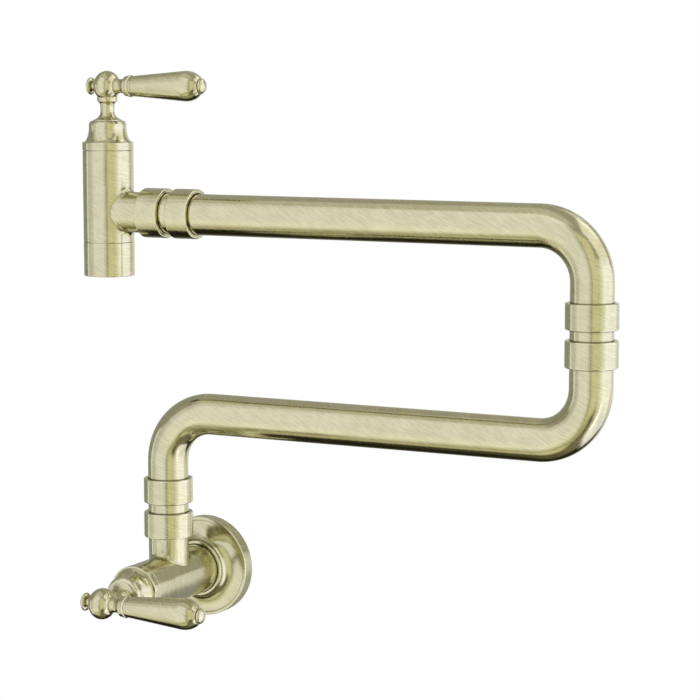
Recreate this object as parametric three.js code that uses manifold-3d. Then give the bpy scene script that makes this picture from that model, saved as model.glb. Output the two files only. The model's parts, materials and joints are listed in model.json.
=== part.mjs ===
// Wall mounted pot filler: a cold tap over a hob, with two hollow arms that fold on swivels.
// Millimetres, +Z up. The wall is the plane Y = 0 and the tap stands out from it towards -Y.
// The origin is where the wall valve's axis meets the wall, and the arms lie along X at rest.

import * as THREE from 'three';
import { mergeVertices } from 'three/addons/utils/BufferGeometryUtils.js';
import Module from 'manifold-3d';

const wasm = await Module();
wasm.setup();

// ---------------------------------------------------------------- driving dimensions

// Clearances. A running fit turns or slides, a seat rests, and a joint face just meets.
const FIT = 0.25; // radial, between a bore and the round piece in it
const SEAT = 0.1; // axial, between two faces that press together
const RUN = 0.25; // axial, between two faces that turn on each other
const PAST = 1; // by which a cutter, or a solid to be joined, runs past the face it meets

// Layout of the arms.
const WALL_TO_SWIVEL = 46.8; // wall to the first swivel's axis
const LOWER_ARM_REACH = 267.2; // first swivel's axis to the elbow's axis
const UPPER_ARM_REACH = 306.9; // elbow's axis to the spout's axis
const WALL_BRANCH_REACH = 26.3; // wall valve's axis to the foot of the wall swivel
const SPOUT_BRANCH_REACH = 26.4; // spout's axis to the foot of its union
const LOWER_ARM_RISE = 75.3; // foot of the wall swivel to the lower arm's centreline
const ELBOW_STRAIGHT = 11.5; // of the lower arm's tube between its last bend and the elbow
const INSERT_GAP = 1.5; // that bend to the lower end of the insert in the straight
const UPPER_ARM_RISE = 75.8; // foot of the elbow swivel to the upper arm's centreline
const BEND_RADIUS = 30; // to the centreline of the tube

const TUBE = { radius: 12, wall: 1.5 };

// Wall rosette.
const ROSETTE = {
  radius: 30.5,
  rimHeight: 8.2,
  rimEdge: 0.45, // rounding of the rim's outer edge
  beadWidth: 1.9, // flat band along the rim's front edge
  beadEdge: 0.2, // slope of the band's inner edge
  beadStep: 0.7, // drop from that band to the dish
  bodyGap: 0.35,
  bossRadius: 17.1,
  bossHeight: 15.6,
  bossLip: 0.9, // rounding of the boss's front edge
  shell: 2, // thickness of the rim's wall
  backDepth: 5.6, // depth of the hollow behind the dish
  bossBackDepth: 7,
};
const GRIP_RING = { section: 0.8, height: 10.2 };

// Supply nipple: a G1/2 thread is 20.955 mm across.
const NIPPLE = { radius: 10.4, bore: 6.5, behindWall: 18, inBody: 14.5, edge: 0.8 };
const GASKET = { thickness: 1.2, wall: 3.6 };

// Valve bodies. Depths are measured from the bonnet's seam along the valve's axis.
const BODY = {
  radius: 15.05,
  edge: 0.3,
  threadRadius: 12.4,
  threadHeight: 4,
  screwRadius: 10.55, // female thread that holds the cartridge
  screwDepth: 9,
  chamberRadius: 11.6,
  seatDepth: 46.5,
  seatThickness: 3,
  seatBore: 5.5,
  branchFillet: 3,
  branchBore: 6.5,
};
const WALL_BODY = { seamFromWall: 81.6, endGap: 3, inletBore: 8 };
const SPOUT_BODY = { branchDepth: 36.3, length: 54.2, threadHeight: 6, outletBore: 9 };

// Outlet ring and the aerator in it.
const OUTLET = { height: 20.2, lipBore: 10.6, lipThickness: 2, lipEdge: 0.5 };
const AERATOR = { height: 11, wall: 2, ledge: 0.9, ledgeHeight: 1, screen: 0.8 };
const AERATOR_WASHER = { thickness: 1, wall: 2.6 };
const SLOTS = { count: 6, width: 1.3, pitch: 2.7, margin: 1.2 };

// Swivel set. Heights are measured from the foot of its nut.
const SWIVEL = {
  collarWall: 2.6, // by which nut and collar stand out from the tube
  edge: 0.6,
  nutHeight: 14.9,
  ringHeight: 5.7,
  collarHeight: 14.6,
  socketHeight: 7,
  socketStep: 0.8,
  socketBore: 8.25,
  socketDepth: 6,
  washer: 1,
  flangeHeight: 2,
  neckStep: 1.25, // from the flange's edge in to the neck
  recess: 0.7, // shallow seats that the ring and the tube stand in
  recessWidth: 0.45,
  rimHeight: 3.5, // threaded rim inside the collar
  plugLength: 8.5,
  tailLength: 5, // of the spindle below the nut's foot
  waterBore: 4.8,
};
const ORING = { section: 1, grooveWidth: 2.6, gap: 2.4 };

// Ceramic cartridge. Heights are measured from the bonnet's seam.
const CARTRIDGE = {
  barrelRadius: 9.2,
  flangeRadius: 12,
  flangeHeight: 1.5,
  hexAcross: 16,
  hexHeight: 4.4,
  chamberRadius: 7.3,
  stemBore: 4.15,
  windowWidth: 9.5,
  keyWidth: 3,
  keyReach: 1.1,
};
const SEAT_SEAL = { thickness: 1.5, inner: 6, outer: 8.8 };
const DISC = { thickness: 3, hub: 2.6, portInner: 2.6, portOuter: 5.8 };
const PORT_HALF_ANGLE = 40;
const VANE_HALF_ANGLE = 46;
const STEM = {
  radius: 3.9,
  footHeight: 2.4,
  tongueLength: 11,
  tongueWidth: 2.4,
  tongueHeight: 1.4,
  tongueRoot: 0.5, // of the tongue inside the foot
};
const STEM_SEAL = { section: 0.65, grooveWidth: 1.8, belowTop: 4 };

// Bonnet over the cartridge.
const BONNET = {
  ringRadius: 15.15,
  ringHeight: 5,
  seam: 0.25,
  flareHeight: 9, // of the concave flare above the ring
  flareWidth: 5.2, // half axes of the ellipse that the flare follows
  flareLength: 9.6,
  neckRadius: 11.1,
  neckHeight: 3.6,
  topEdge: 1.2,
  topThickness: 1.4,
  neckWall: 1.35,
};

// Lever handle. Rises are measured from the bonnet's top, reaches from the valve's axis.
const HANDLE = {
  leverRise: 20.3, // of the lever's axis
  sleeveRadius: 7.6,
  sleeveGap: 0.9, // between the cartridge and the sleeve
  splineDepth: 7.7,
  waistRadius: 4.15,
  waistRise: 6.6,
  ringRadius: 6,
  ringRise: 11.4,
  ringWidth: 1.9,
  beadRadius: 8.95,
  beadHalfLength: 7.5,
  shankRadius: 4.5,
  shankReach: 13,
  shankFlare: 2.4, // length of the shank's flare to the ferrule
};
const BUTTON = {
  reach: 14.9,
  radius: 5.35,
  seat: 8.2,
  seatRadius: 3.9, // of the flat on the bead
  footRadius: 4.5,
  brimRadius: 5.2,
  brimHeight: 1.2,
  pegLength: 4,
};
const FERRULE = {
  length: 6,
  peakRadius: 6.35,
  peakReach: 16.2,
  peakWidth: 0.9,
  endRadius: 5.75,
  endWidth: 1,
};
const GRIP = { endReach: 62.6, widestReach: 54.6, startRadius: 6, radius: 8.85, nose: 11.1 };
const FINIAL = { length: 5.3, radius: 5, footRadius: 4.4, brimHeight: 0.6 };
const STUD = { radius: 2, hubDepth: 4.5, finialDepth: 3.2 };
const GRUB = { radius: 1.5, rise: 2.1 };

// Facets round each kind of piece.
const ROUND = { rosette: 24, outer: 18, bore: 16, lever: 12, inner: 12, small: 8 };
const BEND_STEPS = 5;

// ---------------------------------------------------------------- materials

const metal = (color, roughness) =>
  new THREE.MeshStandardMaterial({ color, roughness, metalness: 1 });
const plain = (color, roughness) =>
  new THREE.MeshStandardMaterial({ color, roughness, metalness: 0 });

const BRUSHED_BRASS = metal(0xb9b28a, 0.34);
const BARE_BRASS = metal(0xb99a55, 0.4);
const STEEL = metal(0x9c9c9a, 0.35);
const CERAMIC = plain(0xe9e6df, 0.25);
const RUBBER = plain(0x1c1c1c, 0.75);
const PTFE = plain(0xeeeeea, 0.5);
const PLASTIC = plain(0xd8d8d2, 0.45);

// ---------------------------------------------------------------- solids

const WELD = 1e-4; // distance within which two corners are one

// A closed geometry as a solid that can be joined and cut.
function solid(geometry) {
  const bare = new THREE.BufferGeometry();
  bare.setAttribute('position', geometry.getAttribute('position'));
  bare.setIndex(geometry.index);
  const merged = mergeVertices(bare, WELD);
  const corners = merged.index.array;
  const kept = [];
  for (let i = 0; i < corners.length; i += 3) {
    const [a, b, c] = [corners[i], corners[i + 1], corners[i + 2]];
    if (a !== b && b !== c && c !== a) kept.push(a, b, c);
  }
  const vertProperties = new Float32Array(merged.getAttribute('position').array);
  const triVerts = new Uint32Array(kept);
  const made = new wasm.Manifold(new wasm.Mesh({ numProp: 3, vertProperties, triVerts }));
  if (made.volume() > 0) return made;
  const flipped = triVerts.map((_, i) => triVerts[i + 2 - 2 * (i % 3)]);
  return new wasm.Manifold(new wasm.Mesh({ numProp: 3, vertProperties, triVerts: flipped }));
}

function geometryOf(piece) {
  const { numProp, vertProperties, triVerts } = piece.getMesh();
  const geometry = new THREE.BufferGeometry();
  const positions = new Float32Array((vertProperties.length / numProp) * 3);
  for (let i = 0; i < positions.length; i += 3) {
    const start = (i / 3) * numProp;
    positions.set(vertProperties.subarray(start, start + 3), i);
  }
  geometry.setAttribute('position', new THREE.BufferAttribute(positions, 3));
  geometry.setIndex(new THREE.BufferAttribute(new Uint32Array(triVerts), 1));
  geometry.computeVertexNormals();
  return geometry;
}

// Names a solid and gives it its material.
function piece(name, shape, material) {
  const mesh = new THREE.Mesh(geometryOf(shape), material);
  mesh.name = name;
  return mesh;
}

// Turns a closed outline of [radius, height] points about +Z.
function turned(outline, facets) {
  const points = outline.map(([radius, height]) => new THREE.Vector2(radius, height));
  points.push(points[0].clone());
  return solid(new THREE.LatheGeometry(points, facets).rotateX(Math.PI / 2));
}

// A plain washer, sleeve or disc; with no bore it is a full cylinder.
function sleeve(outer, bore, bottom, top, facets) {
  return turned([[bore, bottom], [outer, bottom], [outer, top], [bore, top]], facets);
}

function cylinder(radius, bottom, top, facets) {
  return sleeve(radius, 0, bottom, top, facets);
}

// Turns a ring of round section about +Z.
function roundRing(centreRadius, section, height, facets) {
  const sides = 5;
  const outline = [];
  for (let i = 0; i < sides; i += 1) {
    const angle = (2 * Math.PI * i) / sides;
    outline.push([centreRadius + section * Math.cos(angle), height + section * Math.sin(angle)]);
  }
  return turned(outline, facets);
}

function box(sizeX, sizeY, sizeZ, x, y, z) {
  return solid(new THREE.BoxGeometry(sizeX, sizeY, sizeZ).translate(x, y, z));
}

// Points of an elliptical arc, angles in degrees, both ends included.
function arc(centreX, centreY, radiusX, radiusY, from, to, steps) {
  const points = [];
  for (let i = 0; i <= steps; i += 1) {
    const angle = THREE.MathUtils.degToRad(from + ((to - from) * i) / steps);
    points.push([centreX + radiusX * Math.cos(angle), centreY + radiusY * Math.sin(angle)]);
  }
  return points;
}

// The two ends of a turned piece with a rounded outer edge, from the inside out.
const lowEdge = (radius, height, edge, steps = 1) =>
  arc(radius - edge, height + edge, edge, edge, -90, 0, steps);
const highEdge = (radius, height, edge, steps = 1) =>
  arc(radius - edge, height - edge, edge, edge, 0, 90, steps);

// Turns what was made about +Z so that it runs along +X or +Y.
const alongX = (shape) => shape.rotate([0, 90, 0]);
const alongY = (shape) => shape.rotate([-90, 0, 0]);

// ---------------------------------------------------------------- tube with bends

// A route of straight runs and quarter bends, with a section at each station.
class TubeRoute extends THREE.Curve {
  constructor(stations) {
    super();
    this.stations = stations;
  }

  stationAt(share) {
    return this.stations[Math.round(share * (this.stations.length - 1))];
  }

  getPoint(share, target = new THREE.Vector3()) {
    return target.copy(this.stationAt(share).point);
  }

  getPointAt(share, target) {
    return this.getPoint(share, target);
  }

  getTangentAt(share, target = new THREE.Vector3()) {
    return target.copy(this.stationAt(share).tangent);
  }
}

// Corners are where the centrelines meet; each inner corner is bent to the radius.
function tubeRoute(corners, bendRadius) {
  const stations = [];
  const directions = [];
  for (let i = 1; i < corners.length; i += 1) {
    directions.push(corners[i].clone().sub(corners[i - 1]).normalize());
  }
  stations.push({ point: corners[0], tangent: directions[0] });
  for (let i = 1; i < corners.length - 1; i += 1) {
    const before = directions[i - 1];
    const after = directions[i];
    const centre = corners[i].clone().addScaledVector(before, -bendRadius);
    centre.addScaledVector(after, bendRadius);
    for (let step = 0; step <= BEND_STEPS; step += 1) {
      const angle = (Math.PI / 2) * (step / BEND_STEPS);
      const point = centre.clone().addScaledVector(after, -bendRadius * Math.cos(angle));
      point.addScaledVector(before, bendRadius * Math.sin(angle));
      const tangent = before.clone().multiplyScalar(Math.cos(angle));
      tangent.addScaledVector(after, Math.sin(angle));
      stations.push({ point, tangent });
    }
  }
  const last = corners.length - 1;
  stations.push({ point: corners[last], tangent: directions[last - 1] });
  return new TubeRoute(stations);
}

function bentTube(corners) {
  const section = new THREE.Shape().absarc(0, 0, TUBE.radius, 0, 2 * Math.PI);
  section.holes.push(new THREE.Path().absarc(0, 0, TUBE.radius - TUBE.wall, 0, 2 * Math.PI));
  const extrudePath = tubeRoute(corners, BEND_RADIUS);
  const steps = extrudePath.stations.length - 1;
  const curveSegments = ROUND.outer / 2;
  return solid(new THREE.ExtrudeGeometry(section, { steps, curveSegments, extrudePath }));
}

// ---------------------------------------------------------------- swivel set

// The tube joints share one pattern: a threaded mouth, a nut on it, a hollow piece whose flange
// the nut holds, and a collar over that piece and the tube's end. The two swivels hold a spindle
// with two O-rings on its tail. The spout's union holds a plain tailpiece on a flat washer.
const tubeBore = TUBE.radius - TUBE.wall;
const collarRadius = TUBE.radius + SWIVEL.collarWall;
const socketRadius = TUBE.radius - SWIVEL.socketStep;
const washerBottom = SWIVEL.socketHeight + SEAT;
const flangeBottom = washerBottom + SWIVEL.washer + SEAT;
const flangeTop = flangeBottom + SWIVEL.flangeHeight;
const flangeRadius = socketRadius - FIT;
const neckRadius = flangeRadius - SWIVEL.neckStep;
const ringBottom = SWIVEL.nutHeight - SWIVEL.recess + RUN;
const ringTop = SWIVEL.nutHeight + SWIVEL.ringHeight;
const plugRadius = tubeBore - FIT;
const tubeStart = ringTop + SWIVEL.rimHeight + SEAT;
const tailRadius = SWIVEL.socketBore - FIT;
const tailBottom = -SWIVEL.tailLength;
const grooveFloor = tailRadius - 2 * ORING.section;
const swivelHeight = SWIVEL.nutHeight + SWIVEL.ringHeight + SWIVEL.collarHeight;

// Heights of the two grooves' lower edges on the spindle's tail.
const grooves = [0, 1].map(
  (i) => flangeBottom - (i + 1) * (ORING.gap + ORING.grooveWidth),
);

// The socket's threaded mouth, which a valve body or an arm's insert carries. It starts a
// little below the foot, inside what carries it, so that the two join into one.
function socketMouth(bottom) {
  return cylinder(socketRadius, bottom, SWIVEL.socketHeight, ROUND.outer);
}

function socketBore() {
  const top = SWIVEL.socketHeight + PAST;
  return cylinder(SWIVEL.socketBore, -SWIVEL.socketDepth, top, ROUND.bore);
}

function swivelNut() {
  const { nutHeight, edge, recess } = SWIVEL;
  const threadBore = socketRadius + FIT;
  const neckBore = neckRadius + FIT;
  const recessRadius = TUBE.radius + SWIVEL.recessWidth;
  const shoulder = flangeTop + RUN;
  return turned([
    [threadBore, 0],
    ...lowEdge(collarRadius, 0, edge),
    ...highEdge(collarRadius, nutHeight, edge),
    [recessRadius, nutHeight],
    [recessRadius, nutHeight - recess],
    [neckBore, nutHeight - recess],
    [neckBore, shoulder],
    [threadBore, shoulder],
  ], ROUND.outer);
}

function swivelWasher() {
  const top = washerBottom + SWIVEL.washer;
  return sleeve(flangeRadius, tailRadius + 2 * FIT, washerBottom, top, ROUND.inner);
}

// From the flange up: the neck, the ring that shows, and the plug in the tube's end.
const spindleTop = [
  [flangeRadius, flangeBottom],
  [flangeRadius, flangeTop],
  [neckRadius, flangeTop],
  [neckRadius, ringBottom],
  [TUBE.radius, ringBottom],
  [TUBE.radius, ringTop],
  [plugRadius, ringTop],
  [plugRadius, tubeStart + SWIVEL.plugLength],
  [SWIVEL.waterBore, tubeStart + SWIVEL.plugLength],
];

function swivelSpindle() {
  const outline = [[SWIVEL.waterBore, tailBottom], [tailRadius, tailBottom]];
  for (const groove of [...grooves].reverse()) {
    outline.push([tailRadius, groove], [grooveFloor, groove]);
    outline.push([grooveFloor, groove + ORING.grooveWidth]);
    outline.push([tailRadius, groove + ORING.grooveWidth]);
  }
  return turned([...outline, [tailRadius, flangeBottom], ...spindleTop], ROUND.bore);
}

function unionTailpiece() {
  return turned([[SWIVEL.waterBore, flangeBottom], ...spindleTop], ROUND.bore);
}

function unionWasher() {
  const top = washerBottom + SWIVEL.washer;
  return sleeve(flangeRadius, BODY.branchBore, washerBottom, top, ROUND.inner);
}

// Each O-ring fills the groove between the spindle and the socket's bore.
function swivelSeal(groove) {
  const section = (SWIVEL.socketBore - grooveFloor) / 2 - FIT / 2;
  const centreRadius = (SWIVEL.socketBore + grooveFloor) / 2 - FIT / 4;
  return roundRing(centreRadius, section, groove + ORING.grooveWidth / 2, ROUND.bore);
}

function swivelCollar() {
  const { collarHeight, edge, recess, recessWidth, rimHeight } = SWIVEL;
  const bottom = ringTop + SEAT;
  const top = ringTop + collarHeight;
  const threadBore = plugRadius + FIT;
  const tubeFit = TUBE.radius + FIT;
  return turned([
    [threadBore, bottom],
    ...lowEdge(collarRadius, bottom, edge),
    ...highEdge(collarRadius, top, edge),
    [TUBE.radius + recessWidth, top],
    [TUBE.radius + recessWidth, top - recess],
    [tubeFit, top - recess],
    [tubeFit, ringTop + rimHeight],
    [threadBore, ringTop + rimHeight],
  ], ROUND.outer);
}

// The insert that gives the lower arm's upper end the same socket as a valve body.
function socketInsert() {
  const bottom = INSERT_GAP - ELBOW_STRAIGHT;
  const plug = cylinder(plugRadius, bottom, 2 * SEAT, ROUND.inner);
  const waterway = cylinder(BODY.branchBore, bottom - PAST, PAST, ROUND.inner);
  return plug.add(socketMouth(SEAT)).subtract(socketBore()).subtract(waterway);
}

// The pieces on a swivel's socket, and those that turn with its tube.
function swivelSocketSide(prefix) {
  return [
    piece(`${prefix}_nut`, swivelNut(), BRUSHED_BRASS),
    piece(`${prefix}_washer`, swivelWasher(), PTFE),
  ];
}

function swivelTubeSide(prefix) {
  return [
    piece(`${prefix}_spindle`, swivelSpindle(), BRUSHED_BRASS),
    ...grooves.map((groove, i) => piece(`${prefix}_oring_${i + 1}`, swivelSeal(groove), RUBBER)),
    piece(`${prefix}_collar`, swivelCollar(), BRUSHED_BRASS),
  ];
}

function unionSet(prefix) {
  return [
    piece(`${prefix}_nut`, swivelNut(), BRUSHED_BRASS),
    piece(`${prefix}_washer`, unionWasher(), RUBBER),
    piece(`${prefix}_tailpiece`, unionTailpiece(), BRUSHED_BRASS),
    piece(`${prefix}_collar`, swivelCollar(), BRUSHED_BRASS),
  ];
}

// ---------------------------------------------------------------- valve body

// The ring of metal that rounds the corner between a body along Z and a branch along +X: the
// space that a ball of the fillet's radius leaves as it rolls round the corner.
function branchFillet(bodyRadius, branchRadius, fillet, facets) {
  const steps = 2;
  const inset = Math.cos(Math.PI / facets); // draws a point in from the round to its facet
  const coreRadius = 0.85 * branchRadius; // the ring's hidden edge, inside both solids
  const coreDepth = 0.9;
  const rows = [];
  for (let i = 0; i < facets; i += 1) {
    const angle = (2 * Math.PI * i) / facets;
    const [sin, cos] = [Math.sin(angle), Math.cos(angle)];
    const y = (branchRadius + fillet) * sin;
    const z = (branchRadius + fillet) * cos;
    const ball = new THREE.Vector3(Math.sqrt((bodyRadius + fillet) ** 2 - y * y), y, z);
    const onBranch = new THREE.Vector3(0, -fillet * sin, -fillet * cos);
    const toAxis = fillet / (bodyRadius + fillet);
    const onBody = new THREE.Vector3(-ball.x * toAxis, -ball.y * toAxis, 0);
    const row = [];
    for (let step = 0; step <= steps; step += 1) {
      const share = step / steps;
      const reach = onBranch.clone().lerp(onBody, share).setLength(fillet);
      row.push(ball.clone().add(reach));
    }
    row[0].y *= inset;
    row[0].z *= inset;
    row[steps].x *= inset;
    row[steps].y *= inset;
    row.push(new THREE.Vector3(row[steps].x * coreDepth, coreRadius * sin, coreRadius * cos));
    rows.push(row);
  }
  return closedRing(rows);
}

// Joins rows of points, each a closed section, into a ring that closes on itself.
function closedRing(rows) {
  const width = rows[0].length;
  const positions = rows.flat().flatMap((point) => point.toArray());
  const index = [];
  rows.forEach((row, i) => {
    const here = i * width;
    const next = ((i + 1) % rows.length) * width;
    row.forEach((_, j) => {
      const k = (j + 1) % width;
      index.push(here + j, next + j, next + k, here + j, next + k, here + k);
    });
  });
  const geometry = new THREE.BufferGeometry();
  geometry.setAttribute('position', new THREE.Float32BufferAttribute(positions, 3));
  geometry.setIndex(index);
  return solid(geometry);
}

// What both valve bodies share: the thread for the bonnet, the chamber with its seat, and a
// branch along +X that ends in a swivel socket at branchReach from the axis.
function valveBody(bottom, branchDepth, branchReach) {
  const { radius, edge, threadRadius, threadHeight } = BODY;
  const barrel = turned([
    [0, bottom],
    ...lowEdge(radius, bottom, edge),
    ...highEdge(radius, 0, edge),
    [threadRadius, 0],
    [threadRadius, threadHeight],
    [0, threadHeight],
  ], ROUND.outer);
  const branch = alongX(cylinder(TUBE.radius, 0, branchReach, ROUND.outer));
  const mouth = alongX(socketMouth(-PAST)).translate([branchReach, 0, 0]);
  const fillet = branchFillet(radius, TUBE.radius, BODY.branchFillet, ROUND.outer);
  const side = branch.add(mouth).add(fillet).translate([0, 0, -branchDepth]);
  return barrel.add(side);
}

const underSeat = -BODY.seatDepth - BODY.seatThickness;

// The hollow that both bodies share; the branch's own bore is in its frame along +Z.
function valveHollow(branchDepth, branchBore) {
  const { chamberRadius, screwRadius, screwDepth, seatDepth, threadHeight } = BODY;
  const chamber = cylinder(chamberRadius, -seatDepth, -screwDepth, ROUND.bore);
  const screw = cylinder(screwRadius, -screwDepth - PAST, threadHeight + PAST, ROUND.bore);
  const seatBottom = underSeat - PAST;
  const seat = cylinder(BODY.seatBore, seatBottom, PAST - seatDepth, ROUND.inner);
  const side = alongX(branchBore).translate([0, 0, -branchDepth]);
  return chamber.add(screw).add(seat).add(side);
}

function wallValveBody() {
  const { seamFromWall, endGap, inletBore } = WALL_BODY;
  const bottom = endGap - seamFromWall;
  const branchDepth = seamFromWall - WALL_TO_SWIVEL;
  const nippleEnd = bottom + NIPPLE.inBody;
  const inlet = cylinder(inletBore, nippleEnd, underSeat, ROUND.inner);
  const gasketSeat = nippleEnd + SEAT + GASKET.thickness;
  const supply = cylinder(NIPPLE.radius + FIT, bottom - PAST, gasketSeat, ROUND.bore);
  const waterway = cylinder(BODY.branchBore, 0, WALL_BRANCH_REACH, ROUND.inner);
  const branchBore = waterway.add(socketBore().translate([0, 0, WALL_BRANCH_REACH]));
  return valveBody(bottom, branchDepth, WALL_BRANCH_REACH)
    .subtract(valveHollow(branchDepth, branchBore))
    .subtract(inlet)
    .subtract(supply)
    .rotate([0, 0, 90]);
}

function spoutValveBody() {
  const { branchDepth, length, threadHeight, outletBore } = SPOUT_BODY;
  const bottom = -length - threadHeight;
  const thread = cylinder(BODY.threadRadius, bottom, PAST - length, ROUND.outer);
  const outlet = cylinder(outletBore, bottom - PAST, underSeat, ROUND.inner);
  const branchEnd = SPOUT_BRANCH_REACH + SWIVEL.socketHeight + PAST;
  const branchBore = cylinder(BODY.branchBore, 0, branchEnd, ROUND.inner);
  return valveBody(-length, branchDepth, SPOUT_BRANCH_REACH)
    .add(thread)
    .subtract(valveHollow(branchDepth, branchBore))
    .subtract(outlet);
}

// ---------------------------------------------------------------- ceramic cartridge

const barrelBottom = -BODY.seatDepth + SEAT + SEAT_SEAL.thickness + SEAT;
const fixedDiscBottom = barrelBottom + SEAT;
const fixedDiscTop = fixedDiscBottom + DISC.thickness;
const turningDiscBottom = fixedDiscTop + SEAT;
const turningDiscTop = turningDiscBottom + DISC.thickness;
const footBottom = turningDiscTop + SEAT;
const footTop = footBottom + STEM.footHeight;
const hexBottom = BODY.threadHeight + SEAT + CARTRIDGE.flangeHeight;
const hexTop = hexBottom + CARTRIDGE.hexHeight;
const discRadius = CARTRIDGE.chamberRadius - 1.5 * FIT; // clears the chamber's facets too
const bonnetTop = BONNET.ringHeight + BONNET.flareHeight + BONNET.neckHeight;
const sleeveBottom = hexTop + HANDLE.sleeveGap;
const splineTop = sleeveBottom + HANDLE.splineDepth;
const leverHeight = bonnetTop + HANDLE.leverRise;

function cartridgeBody() {
  const { barrelRadius, flangeRadius: flange, hexAcross, chamberRadius } = CARTRIDGE;
  const screwRadius = BODY.screwRadius - FIT;
  const barrel = turned([
    [0, barrelBottom],
    [barrelRadius, barrelBottom],
    [barrelRadius, -BODY.screwDepth],
    [screwRadius, -BODY.screwDepth],
    [screwRadius, BODY.threadHeight + SEAT],
    [flange, BODY.threadHeight + SEAT],
    [flange, hexBottom],
    [0, hexBottom],
  ], ROUND.inner);
  const hexRadius = hexAcross / 2 / Math.cos(Math.PI / 6);
  const hex = cylinder(hexRadius, hexBottom - PAST, hexTop, 6);
  const chamber = cylinder(chamberRadius, barrelBottom - PAST, footTop + RUN, ROUND.inner);
  const stemBore = cylinder(CARTRIDGE.stemBore, footTop, hexTop + PAST, ROUND.inner);
  const windowHeight = DISC.thickness;
  const windowMiddle = turningDiscBottom + windowHeight / 2;
  const windows = box(4 * barrelRadius, CARTRIDGE.windowWidth, windowHeight, 0, 0, windowMiddle);
  const keyHeight = DISC.thickness + SEAT + PAST;
  const keyWay = box(
    CARTRIDGE.keyWidth + FIT,
    2 * (discRadius + CARTRIDGE.keyReach + FIT),
    keyHeight,
    0,
    0,
    fixedDiscTop - keyHeight / 2,
  );
  return barrel.add(hex).subtract(chamber).subtract(stemBore).subtract(windows).subtract(keyWay);
}

function seatSeal() {
  const bottom = -BODY.seatDepth + SEAT;
  const { inner, outer, thickness } = SEAT_SEAL;
  return sleeve(outer, inner, bottom, bottom + thickness, ROUND.inner);
}

function extruded(shape, bottom, thickness) {
  const curveSegments = ROUND.small / 2;
  const settings = { depth: thickness, bevelEnabled: false, curveSegments };
  return solid(new THREE.ExtrudeGeometry(shape, settings).translate(0, 0, bottom));
}

// A sector of a ring, centred on the given direction.
function ringSector(inner, outer, direction, halfAngle) {
  const from = THREE.MathUtils.degToRad(direction - halfAngle);
  const to = THREE.MathUtils.degToRad(direction + halfAngle);
  return new THREE.Path().absarc(0, 0, outer, from, to).absarc(0, 0, inner, to, from, true);
}

// The fixed disc has a port on each side and two keys that stop it turning.
function fixedDisc() {
  const plate = cylinder(discRadius, fixedDiscBottom, fixedDiscTop, ROUND.inner);
  const keySpan = 2 * (discRadius + CARTRIDGE.keyReach);
  const middle = fixedDiscBottom + DISC.thickness / 2;
  const keys = box(CARTRIDGE.keyWidth, keySpan, DISC.thickness, 0, 0, middle);
  let disc = plate.add(keys);
  for (const direction of [0, 180]) {
    const sector = ringSector(DISC.portInner, DISC.portOuter, direction, PORT_HALF_ANGLE);
    const port = new THREE.Shape(sector.getPoints(ROUND.small / 2));
    disc = disc.subtract(extruded(port, fixedDiscBottom - PAST, DISC.thickness + 2 * PAST));
  }
  return disc;
}

// The turning disc has two vanes that cover the ports when the valve is shut.
function turningDisc() {
  const vane = (direction) => {
    const sector = ringSector(DISC.hub / 2, discRadius, direction, VANE_HALF_ANGLE);
    const outline = new THREE.Shape(sector.getPoints(ROUND.small / 2));
    return extruded(outline, turningDiscBottom, DISC.thickness);
  };
  const hub = cylinder(DISC.hub, turningDiscBottom, turningDiscTop, ROUND.small);
  const slotDepth = STEM.tongueHeight + SEAT;
  const slotLength = STEM.tongueLength + 2 * FIT;
  const slotWidth = STEM.tongueWidth + 2 * FIT;
  const slotMiddle = turningDiscTop + (PAST - slotDepth) / 2;
  const slot = box(slotLength, slotWidth, slotDepth + PAST, 0, 0, slotMiddle);
  return hub.add(vane(0)).add(vane(180)).subtract(slot);
}

function stem() {
  const { radius, tongueLength, tongueWidth, tongueHeight, tongueRoot } = STEM;
  const grooveTop = hexTop - STEM_SEAL.belowTop;
  const grooveBottom = grooveTop - STEM_SEAL.grooveWidth;
  const floor = CARTRIDGE.stemBore - FIT - 2 * STEM_SEAL.section;
  const shaft = turned([
    [0, footBottom],
    [discRadius, footBottom],
    [discRadius, footTop],
    [radius, footTop],
    [radius, grooveBottom],
    [floor, grooveBottom],
    [floor, grooveTop],
    [radius, grooveTop],
    [radius, splineTop],
    [0, splineTop],
  ], ROUND.small);
  const tongueFull = tongueHeight + tongueRoot;
  const tongueMiddle = footBottom + tongueRoot - tongueFull / 2;
  return shaft.add(box(tongueLength, tongueWidth, tongueFull, 0, 0, tongueMiddle));
}

function stemSeal() {
  const grooveMiddle = hexTop - STEM_SEAL.belowTop - STEM_SEAL.grooveWidth / 2;
  const centreRadius = CARTRIDGE.stemBore - FIT / 2 - STEM_SEAL.section;
  return roundRing(centreRadius, STEM_SEAL.section, grooveMiddle, ROUND.small);
}

// ---------------------------------------------------------------- bonnet and handle

function bonnet() {
  const { ringRadius, ringHeight, seam, flareHeight, flareWidth, flareLength } = BONNET;
  const { neckRadius: neck, neckWall, topEdge, topThickness } = BONNET;
  const threadBore = BODY.threadRadius + FIT;
  const innerNeck = neck - neckWall;
  const flareTop = ringHeight + flareHeight;
  const flareStart = 180 + THREE.MathUtils.radToDeg(Math.asin(flareHeight / flareLength));
  const innerStep = hexBottom + SEAT;
  const hole = HANDLE.sleeveRadius + RUN + SEAT;
  return turned([
    [threadBore, seam],
    ...lowEdge(ringRadius, seam, BODY.edge),
    ...highEdge(ringRadius, ringHeight, 2 * BODY.edge),
    ...arc(neck + flareWidth, flareTop, flareWidth, flareLength, flareStart, 180, 3),
    ...highEdge(neck, bonnetTop, topEdge, 2),
    [hole, bonnetTop],
    [hole, bonnetTop - topThickness],
    [innerNeck, bonnetTop - topThickness],
    [innerNeck, innerStep + threadBore - innerNeck],
    [threadBore, innerStep],
  ], ROUND.outer);
}

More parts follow.
